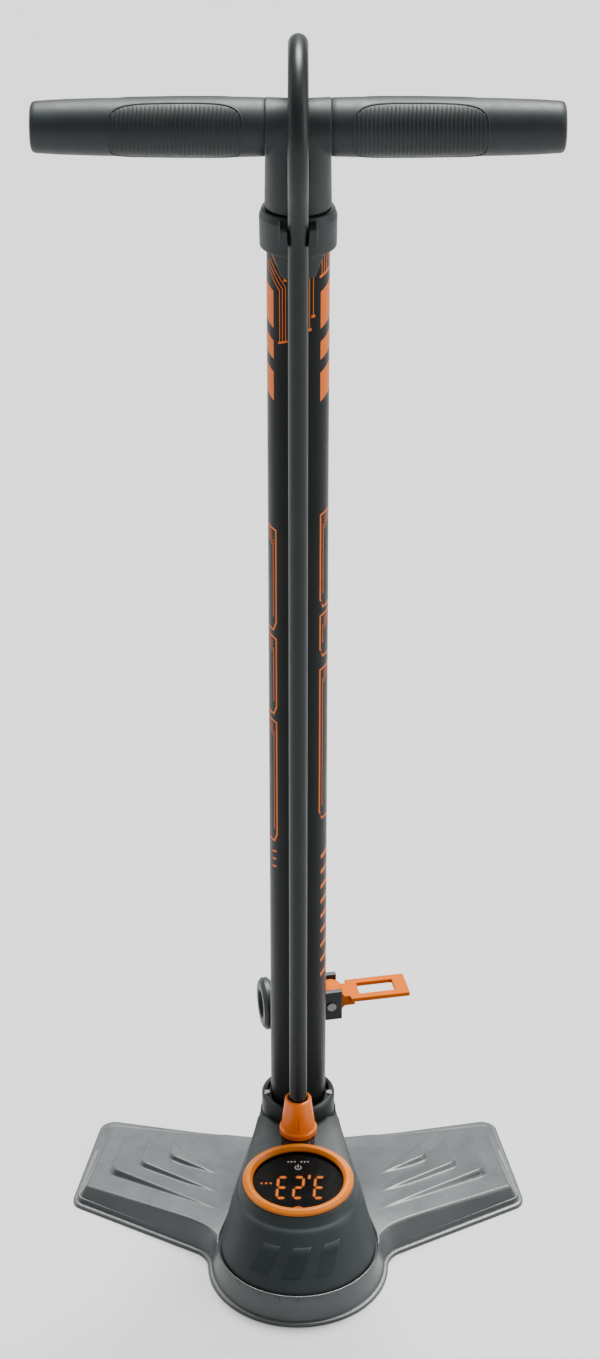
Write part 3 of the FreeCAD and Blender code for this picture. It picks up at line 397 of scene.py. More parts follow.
def carve(helper, cutter, operation="DIFFERENCE"):
    """Cut one helper with another, or join them, and drop the second."""
    change = helper.modifiers.new("carve", "BOOLEAN")
    change.operation = operation
    change.solver = "EXACT"
    change.object = cutter
    bake_modifiers(helper)
    bpy.data.objects.remove(cutter)


def bake_modifiers(helper):
    """Turn what the modifiers make into the helper's own mesh."""
    graph = bpy.context.evaluated_depsgraph_get()
    mesh = bpy.data.meshes.new_from_object(helper.evaluated_get(graph))
    helper.modifiers.clear()
    helper.data = mesh


def soften(helper, voxel, passes, keep=1.0):
    """Round every edge a little, as moulding does: remesh finely and smooth."""
    remesh = helper.modifiers.new("remesh", "REMESH")
    remesh.mode = "VOXEL"
    remesh.voxel_size = voxel * MM
    smooth = helper.modifiers.new("smooth", "SMOOTH")
    smooth.factor = 0.5
    smooth.iterations = passes
    if keep < 1:
        thin = helper.modifiers.new("thin", "DECIMATE")
        thin.ratio = keep
    bake_modifiers(helper)
    mesh = helper.data
    bpy.data.objects.remove(helper)
    return mesh


# ---------------------------------------------------------------- hose

# The hose's route as (behind the barrel's axis, height): up the front, over the handle, down the back.
HOSE_ROUTE = [
    (-26, 60.6), (-25.26, 567), (-25.2, 607.8), (-42, 645.5), (-35.5, 672.5), (-14, 690),
    (14, 690), (35.5, 672.5), (42, 645.5), (25.2, 607.8), (25.4, 567), (28, 120.6),
]
ROUND_SIDES = 28


def hose_line():
    """The hose's middle line: points read from a smooth spline on the route."""
    curve = bpy.data.curves.new("hose_line", "CURVE")
    curve.dimensions = "3D"
    curve.resolution_u = 30
    spline = curve.splines.new("NURBS")
    spline.points.add(len(HOSE_ROUTE) - 1)
    for point, (y, z) in zip(spline.points, HOSE_ROUTE):
        point.co = (0, (y + AXIS_Y) * MM, z * MM, 1)
    spline.order_u = 3
    spline.use_endpoint_u = True
    helper = bpy.data.objects.new("hose_line", curve)
    bpy.context.collection.objects.link(helper)
    mesh = bpy.data.meshes.new_from_object(helper)
    line = [vertex.co.copy() for vertex in mesh.vertices]
    bpy.data.objects.remove(helper)
    bpy.data.meshes.remove(mesh)
    return line


def hose_tube(line, radius):
    """A round tube about a line in the plane x = 0, closed at both ends."""
    outlines = []
    count = len(line)
    for i, spot in enumerate(line):
        way = (line[min(i + 1, count - 1)] - line[max(i - 1, 0)]).normalized()
        side = Vector((1, 0, 0))
        up = way.cross(side)
        ring = []
        for k in range(ROUND_SIDES):
            angle = math.tau * k / ROUND_SIDES
            at = spot + (side * math.cos(angle) + up * math.sin(angle)) * radius
            ring.append((at.x / MM, at.y / MM - AXIS_Y, at.z / MM))
        outlines.append(ring[::-1])
    return loft(outlines)


class FLOORPUMP_OT_hose(bpy.types.Operator):
    """Sweep the hose up the front, over the handle and down the back to the valve head"""
    bl_idname = "floor_pump.hose"
    bl_label = "Hose"

    def execute(self, context):
        radius = context.scene.floor_pump_sizes.hose_diameter / 2
        line = hose_line()
        mesh = in_frame("hose", *hose_tube(line, radius))
        mesh.materials.append(FINISH["hose"])
        mesh.shade_smooth()
        mesh.set_sharp_from_angle(angle=math.radians(50))
        hose = bpy.data.objects.new("hose", mesh)
        context.collection.objects.link(hose)
        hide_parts("hose_front_run", "hose_loop", "hose_rear_run")
        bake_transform(hose)
        on_hose = [context.scene.objects[name] for name in HEAD_PIECES]
        head_nodes = ("valve_grommet", "valve_ring", "head_plunger", "lever_pin")
        on_hose += [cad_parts[name] for name in head_nodes]
        return {"FINISHED"}


# ---------------------------------------------------------------- foot

RIM_WIDTH = 2.3
RIM_TOP = 2.0
LOBE_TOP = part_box("foot_plate")[1][2] / MM
# each step of a wing: outer front corner, inner end, back end, and its height over the wing
STEPS = [
    ((112.3, -18), (47.7, -56.4), (103.9, 23.3), 4.6),
    ((96.2, -13), (48.2, -38.4), (89.5, 20.2), 6.0),
    ((78.5, -4), (48.7, -18.9), (74.8, 14.9), 5.0),
]
STEP_SLOPE = 2.0
HOUSING_FRONT_Y = -87.0
HOUSING_FRONT = 44.5
HOUSING_REAR = 23.0
GROOVE_DEPTH = 2.6
WING_HEIGHT = 11.0
WING_DROP_OUTWARDS = 0.021
WING_DROP_BACKWARDS = 0.116
LOBE_RISER_RUN = 2.9
WING_RISER_EXTRA = 2.6
LEAST_HEIGHT = 1.2


def ease(value, low, high):
    """0 below low, 1 above high, and a smooth run between."""
    t = np.clip((value - low) / (high - low), 0, 1)
    return t * t * (3 - 2 * t)


def soft_min(a, b, blend):
    """The smaller of two heights, with the crease between them rounded."""
    share = np.clip(0.5 + 0.5 * (b - a) / blend, 0, 1)
    return b * (1 - share) + a * share - blend * share * (1 - share)


def soft_max(a, b, blend):
    return -soft_min(-a, -b, blend)


def foot_outline():
    """The foot's outer outline on the ground, read from its CAD node and evenly spaced."""
    shape = bmesh.new()
    shape.from_mesh(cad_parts["foot_plate"].data)
    bmesh.ops.remove_doubles(shape, verts=shape.verts, dist=WELD)
    shape.normal_update()
    neighbours = {}
    for edge in shape.edges:
        if max(vertex.co.z for vertex in edge.verts) > 1e-6 or len(edge.link_faces) != 2:
            continue
        tilts = sorted(abs(face.normal.z) for face in edge.link_faces)
        if tilts[0] < 0.2 and tilts[1] > 0.9:
            one, other = edge.verts
            neighbours.setdefault(one.index, []).append(other)
            neighbours.setdefault(other.index, []).append(one)
    here = min((vertex for vertex in shape.verts if vertex.index in neighbours), key=lambda v: v.co.y)
    first = here
    before = None
    corners = []
    while here is not first or not corners:
        corners.append((here.co.x / MM, here.co.y / MM - AXIS_Y))
        on = [vertex for vertex in neighbours[here.index] if vertex is not before][0]
        before = here
        here = on
    shape.free()
    line = np.array(corners + corners[:1])
    reach = np.concatenate([[0], np.cumsum(np.linalg.norm(np.diff(line, axis=0), axis=1))])
    count = int(reach[-1] / 1.6)
    even = np.linspace(0, reach[-1], count, endpoint=False)
    line = np.stack([np.interp(even, reach, line[:, 0]), np.interp(even, reach, line[:, 1])], axis=1)
    turning = np.cross(line, np.roll(line, -1, axis=0)).sum()
    return line if turning > 0 else line[::-1]


def inward(line, inset):
    """The outline moved inwards."""
    way = np.roll(line, -1, axis=0) - np.roll(line, 1, axis=0)
    way /= np.linalg.norm(way, axis=1)[:, None]
    return line + np.stack([-way[:, 1], way[:, 0]], axis=1) * inset


def depth_inside(points, line):
    """How far each point is from the outline."""
    start = line
    span = np.roll(line, -1, axis=0) - line
    length = (span ** 2).sum(axis=1)
    depth = np.empty(len(points))
    for low in range(0, len(points), 3000):
        some = points[low:low + 3000]
        gap = some[:, None, :] - start[None]
        share = np.clip((gap * span).sum(axis=2) / length, 0, 1)
        off = gap - share[:, :, None] * span
        depth[low:low + 3000] = np.sqrt((off ** 2).sum(axis=2).min(axis=1))
    return depth


def inside(points, line):
    """Which points lie inside the outline."""
    result = np.zeros(len(points), bool)
    x, y = points[:, 0], points[:, 1]
    for (x0, y0), (x1, y1) in zip(line, np.roll(line, -1, axis=0)):
        if y0 == y1:
            continue
        crosses = (y0 > y) != (y1 > y)
        result ^= crosses & (x < (x1 - x0) * (y - y0) / (y1 - y0) + x0)
    return result


def from_housing(x, y):
    """Distance outwards from the housing's skirt."""
    span = -HOUSING_FRONT_Y
    lean = (HOUSING_FRONT - HOUSING_REAR) / span
    rise = math.sqrt(1 - lean * lean)
    across = np.abs(x)
    ahead = -y
    rear = np.hypot(across, ahead) - HOUSING_REAR
    front = np.hypot(across, ahead - span) - HOUSING_FRONT
    side = across * rise - ahead * lean - HOUSING_REAR
    along = ahead * rise + across * lean
    return np.where(along < 0, rear, np.where(along > span * rise, front, side))


def wing_level(x, y):
    """Height of a wing's plain upper face."""
    return WING_HEIGHT - WING_DROP_OUTWARDS * np.abs(x) - WING_DROP_BACKWARDS * y


def step_rise(x, y):
    """Height of the steps over the wing."""
    x = np.abs(x)
    most = np.zeros_like(x)
    for corner, inner, back, rise in STEPS:
        front_way = np.array([corner[0] - inner[0], corner[1] - inner[1]])
        front_way /= np.linalg.norm(front_way)
        side_way = np.array([back[0] - corner[0], back[1] - corner[1]])
        side_way /= np.linalg.norm(side_way)
        from_front = -(x - corner[0]) * front_way[1] + (y - corner[1]) * front_way[0]
        from_side = -(x - corner[0]) * side_way[1] + (y - corner[1]) * side_way[0]
        end_way = np.array([inner[0] - back[0], inner[1] - back[1]])
        end_way /= np.linalg.norm(end_way)
        from_end = -(x - back[0]) * end_way[1] + (y - back[1]) * end_way[0]
        whole = -(corner[0] - back[0]) * end_way[1] + (corner[1] - back[1]) * end_way[0]
        tread = rise * from_end / whole
        riser = soft_min(from_front, from_side, 4.5) * STEP_SLOPE
        height = soft_min(tread, riser, 0.6)
        most = soft_max(most, height, 0.35)
    return most


def foot_top(x, y, depth):
    """Height of the foot's upper face."""
    level = soft_min(np.full_like(x, LOBE_TOP), wing_level(x, y), 2.0)
    level = level + step_rise(x, y) * ease(depth, 6.0, 9.0)
    run = LOBE_RISER_RUN + WING_RISER_EXTRA * ease(np.abs(x), 42, 64)
    bare = soft_min(np.full_like(x, LOBE_TOP), wing_level(x, y), 2.0)
    riser = RIM_TOP + (depth - RIM_WIDTH) * (bare - RIM_TOP) / run
    height = soft_max(np.full_like(x, RIM_TOP), soft_min(level, riser, 1.1), 0.25)
    edge = RIM_TOP - 0.5 * (1 - ease(depth, 0, 0.5))
    height = np.where(depth < RIM_WIDTH - 0.4, edge, height)
    groove = GROOVE_DEPTH * (1 - ease(from_housing(x, y), 0.5, 1.3))
    return np.clip(height - groove, LEAST_HEIGHT, LOBE_TOP)


def triangulated(points, loops):
    """Triangles over the points, with closed loops kept as edges. Loops are index ranges."""
    edges = []
    for low, high in loops:
        edges += [(i, i + 1) for i in range(low, high - 1)] + [(high - 1, low)]
    result = delaunay_2d_cdt([Vector(point) for point in points], edges, [], 1, 1e-4)
    return np.array([tuple(vertex) for vertex in result[0]]), [list(face) for face in result[2]]


def spread_points(line, step, least):
    """Grid points inside the outline, at least so far from it."""
    low = line.min(axis=0)
    high = line.max(axis=0)
    xs = np.arange(low[0], high[0], step)
    ys = np.arange(low[1], high[1], step)
    grid = np.stack(np.meshgrid(xs, ys), axis=-1).reshape(-1, 2)
    grid = grid[inside(grid, line)]
    return grid[depth_inside(grid, line) > least]


def gather(parts):
    """Stack loops and say where each starts and ends."""
    loops = []
    start = 0
    for part in parts:
        loops.append((start, start + len(part)))
        start += len(part)
    return np.concatenate(parts), loops


class FLOORPUMP_OT_foot(bpy.types.Operator):
    """Shape the foot: a round lobe, two swept wings with steps, and a rim all round"""
    bl_idname = "floor_pump.foot"
    bl_label = "Foot"

    def execute(self, context):
        outline = foot_outline()
        rings = [inward(outline, inset) for inset in (0, 0.25, 0.6, 1.9, 2.2, 2.5, 3.0, 3.7, 4.5, 5.3)]
        skirt = [np.array([corner[:2] for corner in hull_ring(HOUSING_FRONT_Y, HOUSING_FRONT + off,
                                                              HOUSING_REAR + off, 0)])
                 for off in (0.3, 0.7, 0.95, 1.35, 1.9)]
        grid = spread_points(outline, 0.8, 6.0)
        off = from_housing(grid[:, 0], grid[:, 1])
        grid = grid[(off > 2.4)]
        points, loops = gather(rings + skirt)
        corners, faces = triangulated(np.concatenate([points, grid]), loops)
        depth = depth_inside(corners, outline)
        heights = foot_top(corners[:, 0], corners[:, 1], depth)
        top = ([(x, y, z) for (x, y), z in zip(corners.tolist(), heights.tolist())], faces)
        lower, lower_loops = gather([outline, inward(outline, 3.0), inward(outline, 3.3)])
        below = spread_points(outline, 5.0, 6.0)
        corners, faces = triangulated(np.concatenate([lower, below]), lower_loops)
        depth = depth_inside(corners, outline)
        ceiling = np.minimum(5.0, wing_level(corners[:, 0], corners[:, 1]) - 2.0)
        heights = np.where(depth > 3.15, ceiling, 0.0)
        under = ([(x, y, z) for (x, y), z in zip(corners.tolist(), heights.tolist())], faces)
        edge_height = float(foot_top(np.zeros(1), np.zeros(1) - 138.0, np.zeros(1))[0])
        wall = loft([[(x, y, 0.0) for x, y in outline.tolist()],
                     [(x, y, edge_height) for x, y in outline.tolist()]], False, False)
        vertices, faces = joined(top, under, wall)
        add_piece("foot", vertices, faces, "foot", slot="foot_plastic", hides=("foot_plate",), crease=75)
        return {"FINISHED"}


# ---------------------------------------------------------------- housing

FRONT_STEPS = 72
SIDE_STEPS = 6
REAR_STEPS = 40


def hull_ring(front_y, front_radius, rear_radius, height):
    """The common outline of a front circle and one about the barrel, as evenly shared corners."""
    lean = math.asin((rear_radius - front_radius) / front_y)
    ring = []
    for i in range(FRONT_STEPS + 1):
        angle = -math.pi - lean + (math.pi + 2 * lean) * i / FRONT_STEPS
        ring.append((front_radius * math.cos(angle), front_y + front_radius * math.sin(angle)))
    rear = []
    for i in range(REAR_STEPS + 1):
        angle = lean + (math.pi - 2 * lean) * i / REAR_STEPS
        rear.append((rear_radius * math.cos(angle), rear_radius * math.sin(angle)))
    right = between(ring[-1], rear[0])
    left = between(rear[-1], ring[0])
    return [(x, y, height) for x, y in ring + right + rear + left]


def between(start, end):
    """Corners along a straight side, without its ends."""
    shares = [i / SIDE_STEPS for i in range(1, SIDE_STEPS)]
    return [(start[0] + (end[0] - start[0]) * t, start[1] + (end[1] - start[1]) * t) for t in shares]


# (height, centre of the front circle, its radius, radius about the barrel)
HOUSING_LEVELS = [
    (8.2, -87, 44.3, 22.8), (16.4, -87, 44.5, 23), (17.4, -86.9, 44.3, 22.95),
    (18.6, -86.4, 43.9, 22.9), (41.4, -74.2, 37.0, 22.0), (42.8, -73.7, 36.4, 21.9),
    (43.7, -73.4, 35.5, 21.9), (44.1, -73.3, 34.6, 21.8), (44.7, -73.2, 34.0, 21.8),
    (48.6, -72.2, 32.7, 21.6), (49.6, -72.0, 32.2, 21.4), (50.0, -72.0, 31.4, 20.8),
]


class FLOORPUMP_OT_housing(bpy.types.Operator):
    """Make the dark housing with its ledge, the ring round the barrel and the glossy strip"""
    bl_idname = "floor_pump.housing"
    bl_label = "Housing"

    def execute(self, context):
        shell = loose_object("housing_shell", loft([
            hull_ring(y, front, rear, z) for z, y, front, rear in HOUSING_LEVELS]))
        gauge_room = lathe([(0, 37), (30.1, 37), (30.1, 60), (0, 60)], 96, y=GAUGE_Y)
        carve(shell, loose_object("gauge_room", gauge_room))
        for side in (-1, 1):
            low_x, high_x = sorted((side * 14.5, side * 26))
            carve(shell, loose_object("side_recess", box_solid((low_x, -13, 45.5), (high_x, -1, 54))))
        shell_mesh = shell.data
        bpy.data.objects.remove(shell)
        add_mesh("housing_shell", shell_mesh, "housing", "root", ("base_housing",))
        ring = rounded([(16.3, 40, 0), (21.4, 40, 0), (21.4, 58.6, 1.2), (20.2, 60, 0.9), (18.0, 60, 0.8),
                        (17.2, 55.5, 0.6), (16.3, 55, 0)])
        add_piece("barrel_ring", *lathe(ring, 128), "housing")
        strip = loft([
            [(-9.5, -21.0, z), (-9.5, -40.6, z), (9.5, -40.6, z), (9.5, -21.0, z)] for z in (49.5, 50.35)])
        add_piece("deck_strip", *strip, "gloss_black")
        return {"FINISHED"}


# ---------------------------------------------------------------- marks that follow a surface

def on_barrel(angle, height, lift):
    """A place on the barrel: degrees from the front, height."""
    turn = math.radians(angle)
    radius = BARREL_RADIUS + lift
    return radius * math.sin(turn), -radius * math.cos(turn), height


def on_cone(angle, height, lift):
    """A place on the housing's front cone."""
    low = HOUSING_LEVELS[3]
    high = HOUSING_LEVELS[4]
    share = (height - low[0]) / (high[0] - low[0])
    centre = low[1] + (high[1] - low[1]) * share
    radius = low[2] + (high[2] - low[2]) * share + lift
    turn = math.radians(angle)
    return radius * math.sin(turn), centre - radius * math.cos(turn), height


def patch(surface, corners, lift=0.06, sink=0.25, along=8, up=2):
    """A thin closed plate on a surface between four corners (angle, height)."""
    a, b, c, d = corners
    sheets = []
    for level in (-sink, lift):
        rows = []
        for j in range(up + 1):
            v = j / up
            for i in range(along + 1):
                u = i / along
                angle = (a[0] * (1 - u) + b[0] * u) * (1 - v) + (d[0] * (1 - u) + c[0] * u) * v
                height = (a[1] * (1 - u) + b[1] * u) * (1 - v) + (d[1] * (1 - u) + c[1] * u) * v
                rows.append(surface(angle, height, level))
        sheets.append(rows)
    count = len(sheets[0])
    faces = []
    wide = along + 1
    for j in range(up):
        for i in range(along):
            k = j * wide + i
            quad = [k, k + 1, k + wide + 1, k + wide]
            faces.append(quad[::-1])
            faces.append([corner + count for corner in quad])
    rim = [i for i in range(wide)] + [j * wide + along for j in range(1, up + 1)]
    rim += [up * wide + i for i in range(along - 1, -1, -1)] + [j * wide for j in range(up - 1, 0, -1)]
    for one, other in zip(rim, rim[1:] + rim[:1]):
        faces.append([one, other, other + count, one + count])
    return sheets[0] + sheets[1], faces


BARREL_RADIUS = 16.0
BARREL_BORE = 14.5
PRINTED_LINE = 0.4


def printed_path(points, width=PRINTED_LINE):
    """A printed line through points (angle, height), as one plate for each stretch."""
    plates = []
    per_degree = math.radians(1) * BARREL_RADIUS
    for (u0, v0), (u1, v1) in zip(points, points[1:]):
        du, dv = (u1 - u0) * per_degree, v1 - v0
        length = math.hypot(du, dv)
        nu, nv = -dv / length * width / 2 / per_degree, du / length * width / 2
        eu, ev = du / length * width / 2 / per_degree, dv / length * width / 2
        u0, v0, u1, v1 = u0 - eu, v0 - ev, u1 + eu, v1 + ev
        corners = [(u0 - nu, v0 - nv), (u1 - nu, v1 - nv), (u1 + nu, v1 + nv), (u0 + nu, v0 + nv)]
        turn = abs(u1 - u0)
        plates.append(patch(on_barrel, corners, along=max(1, int(turn / 5)), up=1))
    return plates


def side_bars(side):
    """Three bold bars with slanted ends, printed on one side of the barrel."""
    plates = []
    for low, high in ((548, 571), (531, 544), (508, 527)):
        inner, outer = (45 if side > 0 else -51), 104 * side
        corners = [(inner, low), (outer, low + 7), (outer, high + 4), (inner, high - 3)]
        plates.append(patch(on_barrel, corners))
    return plates


def side_frames(side, levels):
    """Outlined frames with a fine inner line and hatching at one end."""
    plates = []
    for low, high in levels:
        inner, outer = 47 * side, 128 * side
        cut = 5
        outline = [(inner, low + cut), (inner, high), (outer, high + 3), (outer, low),
                   (inner + 8 * side, low), (inner, low + cut)]
        plates += printed_path(outline, 1.0)
        plates += printed_path([(inner + 8 * side, low + 8), (inner + 8 * side, high - 6)], 0.4)
        for k in range(4):
            start = high - 3 - 2 * k
            plates += printed_path([(inner + 12 * side, start), (inner + 30 * side, start + 5)], 0.35)
    return plates


def conductor_traces():
    """Fine lines like a circuit's tracks, with end bars and end dots."""
    plates = []
    for k in range(3):
        start = -56 + 5.6 * k
        plates += printed_path([(start, 592), (start, 587.5), (-24 + 1.4 * k, 575.6 + 2.2 * k)])
        start = -35.5 + 6.1 * k
        plates += printed_path([(start - 38, 582 + 1.4 * k), (start, 569.2 + 1.4 * k), (start, 542)])
    plates += printed_path([(-37, 541), (-21.5, 542.6)], 1.1)
    for angle, height in ((-24, 575.3), (-21.4, 577.9)):
        plates += printed_path([(angle - 1, height), (angle + 1, height)], 1.2)
    for angle, low in ((21, 549), (28.5, 556)):
        plates += printed_path([(angle, 590), (angle, low)])
        plates += printed_path([(angle - 1.2, low), (angle + 1.2, low)], 1.5)
    for k in range(4):
        plates += printed_path([(48 + 7 * k, 592), (48 + 7 * k, 577 + 0.6 * k)])
    plates += printed_path([(45, 576.2), (72, 578.4)], 1.4)
    return plates


class FLOORPUMP_OT_barrel(bpy.types.Operator):
    """Turn the barrel and print its plain orange marks"""
    bl_idname = "floor_pump.barrel"
    bl_label = "Barrel"

    def execute(self, context):
        low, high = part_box("barrel")
        tube = [(BARREL_BORE, low[2] / MM), (BARREL_RADIUS, low[2] / MM), (BARREL_RADIUS, high[2] / MM),
                (BARREL_BORE, high[2] / MM)]
        add_piece("barrel_tube", *lathe(tube, 160), "paint", slot="black_paint", hides=("barrel",))
        marks = side_bars(-1) + side_bars(1) + conductor_traces()
        marks += side_frames(1, [(388, 443), (358, 383), (255, 350)])
        marks += side_frames(-1, [(374, 434), (322, 369), (240, 317)])
        for k in range(9):
            base = 148 + 10 * k
            marks.append(patch(on_barrel, [(52, base), (96, base + 4), (96, base + 6.5), (52, base + 2.5)]))
        for k in range(3):
            base = 222 + 5 * k
            tick = [(-62, base), (-49, base + 1), (-49, base + 2.2), (-62, base + 1.2)]
            marks.append(patch(on_barrel, tick))
        add_piece("barrel_marks", *joined(*marks), "print", slot="orange_plastic", crease=60)
        return {"FINISHED"}


class FLOORPUMP_OT_housing_mark(bpy.types.Operator):
    """Set three plain slanted bars into the housing's front"""
    bl_idname = "floor_pump.housing_mark"
    bl_label = "Housing Mark"

    def execute(self, context):
        bars = []
        for k in (-1, 0, 1):
            left = 26 * k - 13
            bars.append(patch(on_cone, [(left, 24), (left + 15, 24), (left + 24, 37), (left + 9, 37)],
                              lift=0.2, sink=0.8, up=4))
        add_piece("front_bars", *joined(*bars), "polished", crease=60)
        return {"FINISHED"}


# ---------------------------------------------------------------- gauge

SEGMENTS = {"2": "abged", "3": "abgcd"}
DIGIT_WIDTH = 7.2
DIGIT_DEPTH = 21.0
# How far the upright and the level segments reach, as a share of the digit's corners
UPRIGHT_REACH = 0.84
LEVEL_REACH = 0.74
HEIGHT_REACH = 0.95
SEGMENT_GAP = 1.0
DIGIT_SLANT = 0.06
WORD_PITCH = 1.9
WORD_LINE = 18.6
LIT_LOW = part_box("display_panel")[1][2] / MM + 0.01
LIT_HIGH = LIT_LOW + 0.05


def bar_outline(start, end, width):
    """A bar with pointed ends, lying flat."""
    way = Vector((end[0] - start[0], end[1] - start[1]))
    length = way.length
    way.normalize()
    side = Vector((-way.y, way.x)) * width / 2
    tip = min(width / 2, length / 3)
    a, b = Vector(start), Vector(end)
    corners = [a, a + way * tip - side, b - way * tip - side, b, b - way * tip + side, a + way * tip + side]
    return [tuple(corner) for corner in corners]


def lit_plate(outline):
    """A thin flat plate just above the display's face."""
    return loft([[(x, y, z) for x, y in outline] for z in (LIT_LOW, LIT_HIGH)])


def digit(name, centre_x, centre_y):
    """A seven-segment digit that reads from behind the pump."""
    w, h = DIGIT_WIDTH / 2 - 0.6, DIGIT_DEPTH / 2 - 0.9
    gap = SEGMENT_GAP
    spots = {
        "a": ((-w, h), (w, h), 2.1), "g": ((-w, 0), (w, 0), 2.1), "d": ((-w, -h), (w, -h), 2.1),
        "f": ((-w, gap), (-w, h - gap), 1.5), "b": ((w, gap), (w, h - gap), 1.5),
        "e": ((-w, -h + gap), (-w, -gap), 1.5), "c": ((w, -h + gap), (w, -gap), 1.5),
    }
    plates = []
    for letter in SEGMENTS[name]:
        (x0, y0), (x1, y1), width = spots[letter]
        reach = UPRIGHT_REACH if x0 == x1 else LEVEL_REACH
        outline = bar_outline((x0 * reach, y0 * HEIGHT_REACH), (x1 * reach, y1 * HEIGHT_REACH), width)
        turned = [(centre_x - x - DIGIT_SLANT * y, centre_y - y) for x, y in outline]
        plates.append(lit_plate(turned))
    return plates


def arc_band(centre, radius, width, start, end, steps=24):
    """A flat band along an arc, in degrees."""
    inner = []
    outer = []
    for i in range(steps + 1):
        angle = math.radians(start + (end - start) * i / steps)
        inner.append((centre[0] + (radius - width / 2) * math.cos(angle),
                      centre[1] + (radius - width / 2) * math.sin(angle)))
        outer.append((centre[0] + (radius + width / 2) * math.cos(angle),
                      centre[1] + (radius + width / 2) * math.sin(angle)))
    plates = []
    for i in range(steps):
        plates.append(lit_plate([inner[i], outer[i], outer[i + 1], inner[i + 1]]))
    return plates


class FLOORPUMP_OT_gauge(bpy.types.Operator):
    """Turn the orange gauge ring and light the figures under its lens"""
    bl_idname = "floor_pump.gauge"
    bl_label = "Gauge"

    def execute(self, context):
        z = DECK_TOP
        ring = rounded([(28.3, z - 3.9, 0), (29.8, z - 3.9, 0), (29.8, z + 0.1, 0), (31.75, z + 0.1, 0.2),
                        (31.6, z + 1.5, 0.7), (29.6, z + 2.95, 1.0), (27.4, z + 2.9, 0.8),
                        (26.0, z + 0.9, 0.3), (25.95, z + 0.1, 0), (28.3, z + 0.1, 0)])
        add_piece("gauge_ring", *lathe(ring, 144, y=GAUGE_Y), "ring", slot="orange_ring",
                  hides=("gauge_bezel",))
        middle = GAUGE_Y - 4.4
        figures = digit("3", 12.0, middle) + digit("2", 0.2, middle) + digit("3", -9.2, middle)
        figures.append(lit_plate(bar_outline((6.6, middle + 11.4), (6.3, middle + 7.4), 1.6)))
        figures += arc_band((0, GAUGE_Y - 24.4), 3.0, 0.9, 25, 155)
        for k in range(3):
            left = -21.6 + 2.6 * k
            figures.append(lit_plate(bar_outline((left, GAUGE_Y - 0.6), (left + 1.5, GAUGE_Y - 0.6), 1.5)))
        add_piece("lit_figures", *joined(*figures), "glow", slot="display_face", crease=60)
        white = arc_band((0, GAUGE_Y + 13.4), 1.7, 0.5, 125, 415)
        white.append(lit_plate(bar_outline((0, GAUGE_Y + 13.6), (0, GAUGE_Y + 16.2), 0.55)))
        for k in (-3, -2, -1, 1, 2, 3):
            x = WORD_PITCH * k
            word = bar_outline((x - 0.6, GAUGE_Y + WORD_LINE), (x + 0.6, GAUGE_Y + WORD_LINE), 1.1)
            white.append(lit_plate(word))
        add_piece("white_marks", *joined(*white), "lamp_white", slot="display_face", crease=60)
        return {"FINISHED"}


# ---------------------------------------------------------------- moulded pieces

HEAD_PIECES = ["head_casting", "mouth_cap", "hose_sleeve", "thumb_lever"]
# Pieces whose shape is the CAD node's with its edges rounded:
# name, nodes, voxel, smoothing passes, share of faces kept, finish, body, slot
MOULDED = [
    ("head_casting", ("head_body",), 0.34, 16, 0.5, "housing", "root", "dark_plastic"),
    ("mouth_cap", ("head_cap",), 0.34, 4, 0.5, "housing", "root", "dark_plastic"),
    ("hose_sleeve", ("hose_ferrule",), 0.3, 3, 0.6, "gloss_black", "root", "plain_aluminium"),
    ("thumb_lever", ("valve_lever",), 0.3, 9, 0.6, "lever", "lever", "orange_plastic"),
    ("top_collar", ("collar",), 0.42, 5, 0.6, "handle", "root", "dark_plastic"),
]


class FLOORPUMP_OT_moulded(bpy.types.Operator):
    """Round the edges of the valve head, its lever and the collar"""
    bl_idname = "floor_pump.moulded"
    bl_label = "Valve Head and Collar"

    def execute(self, context):
        for name, nodes, voxel, passes, keep, finish, body, slot in MOULDED:
            mesh = soften(node_copy(name, nodes), voxel, passes, keep)
            add_mesh(name, mesh, finish, body, nodes, crease=70)
        return {"FINISHED"}


class FLOORPUMP_OT_spring(bpy.types.Operator):
    """Make the check valve's spring from its CAD node, on a mesh of its own. In the pump it shortens as its
    poppet drops.
    """
    bl_idname = "floor_pump.spring"
    bl_label = "Valve Spring"

    def execute(self, context):
        helper = node_copy("poppet_spring", ("valve_spring",))
        mesh = helper.data
        bpy.data.objects.remove(helper)
        coil = add_mesh("poppet_spring", mesh, "steel", "root", ("valve_spring",), crease=60)
        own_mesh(coil)
        return {"FINISHED"}


class FLOORPUMP_OT_gland(bpy.types.Operator):
    """Make the orange gland that the hose leaves the housing through"""
    bl_idname = "floor_pump.gland"
    bl_label = "Gland"

    def execute(self, context):
        outline = rounded([(5.2, 49.9, 0), (10.9, 49.9, 0), (10.9, 53.2, 1.1), (9.9, 54.4, 0.6),
                           (7.6, 73.9, 1.6), (5.7, 74.3, 0.7), (5.35, 71.5, 0)])
        gland = loose_object("orange_gland", lathe(outline, 96, y=-26))
        carve(gland, loose_object("crease", box_solid((-0.3, -40, 56.5), (0.3, -34.3, 70.5))))
        mesh = soften(gland, 0.22, 2, 0.7)
        add_mesh("orange_gland", mesh, "orange", "root", ("hose_gland",), crease=70)
        return {"FINISHED"}


HUB_HALF = 16.6
HUB_RADIUS = 14.6


def hub_section(height, half_x, half_y, corner):
    """One level of the hub's neck: a superellipse that runs from round to nearly square."""
    ring = []
    for i in range(96):
        angle = math.tau * i / 96
        c, s = math.cos(angle), math.sin(angle)
        power = 2 / corner
        x = half_x * math.copysign(abs(c) ** power, c)
        y = half_y * math.copysign(abs(s) ** power, s)
        ring.append((x, y, height))
    return ring


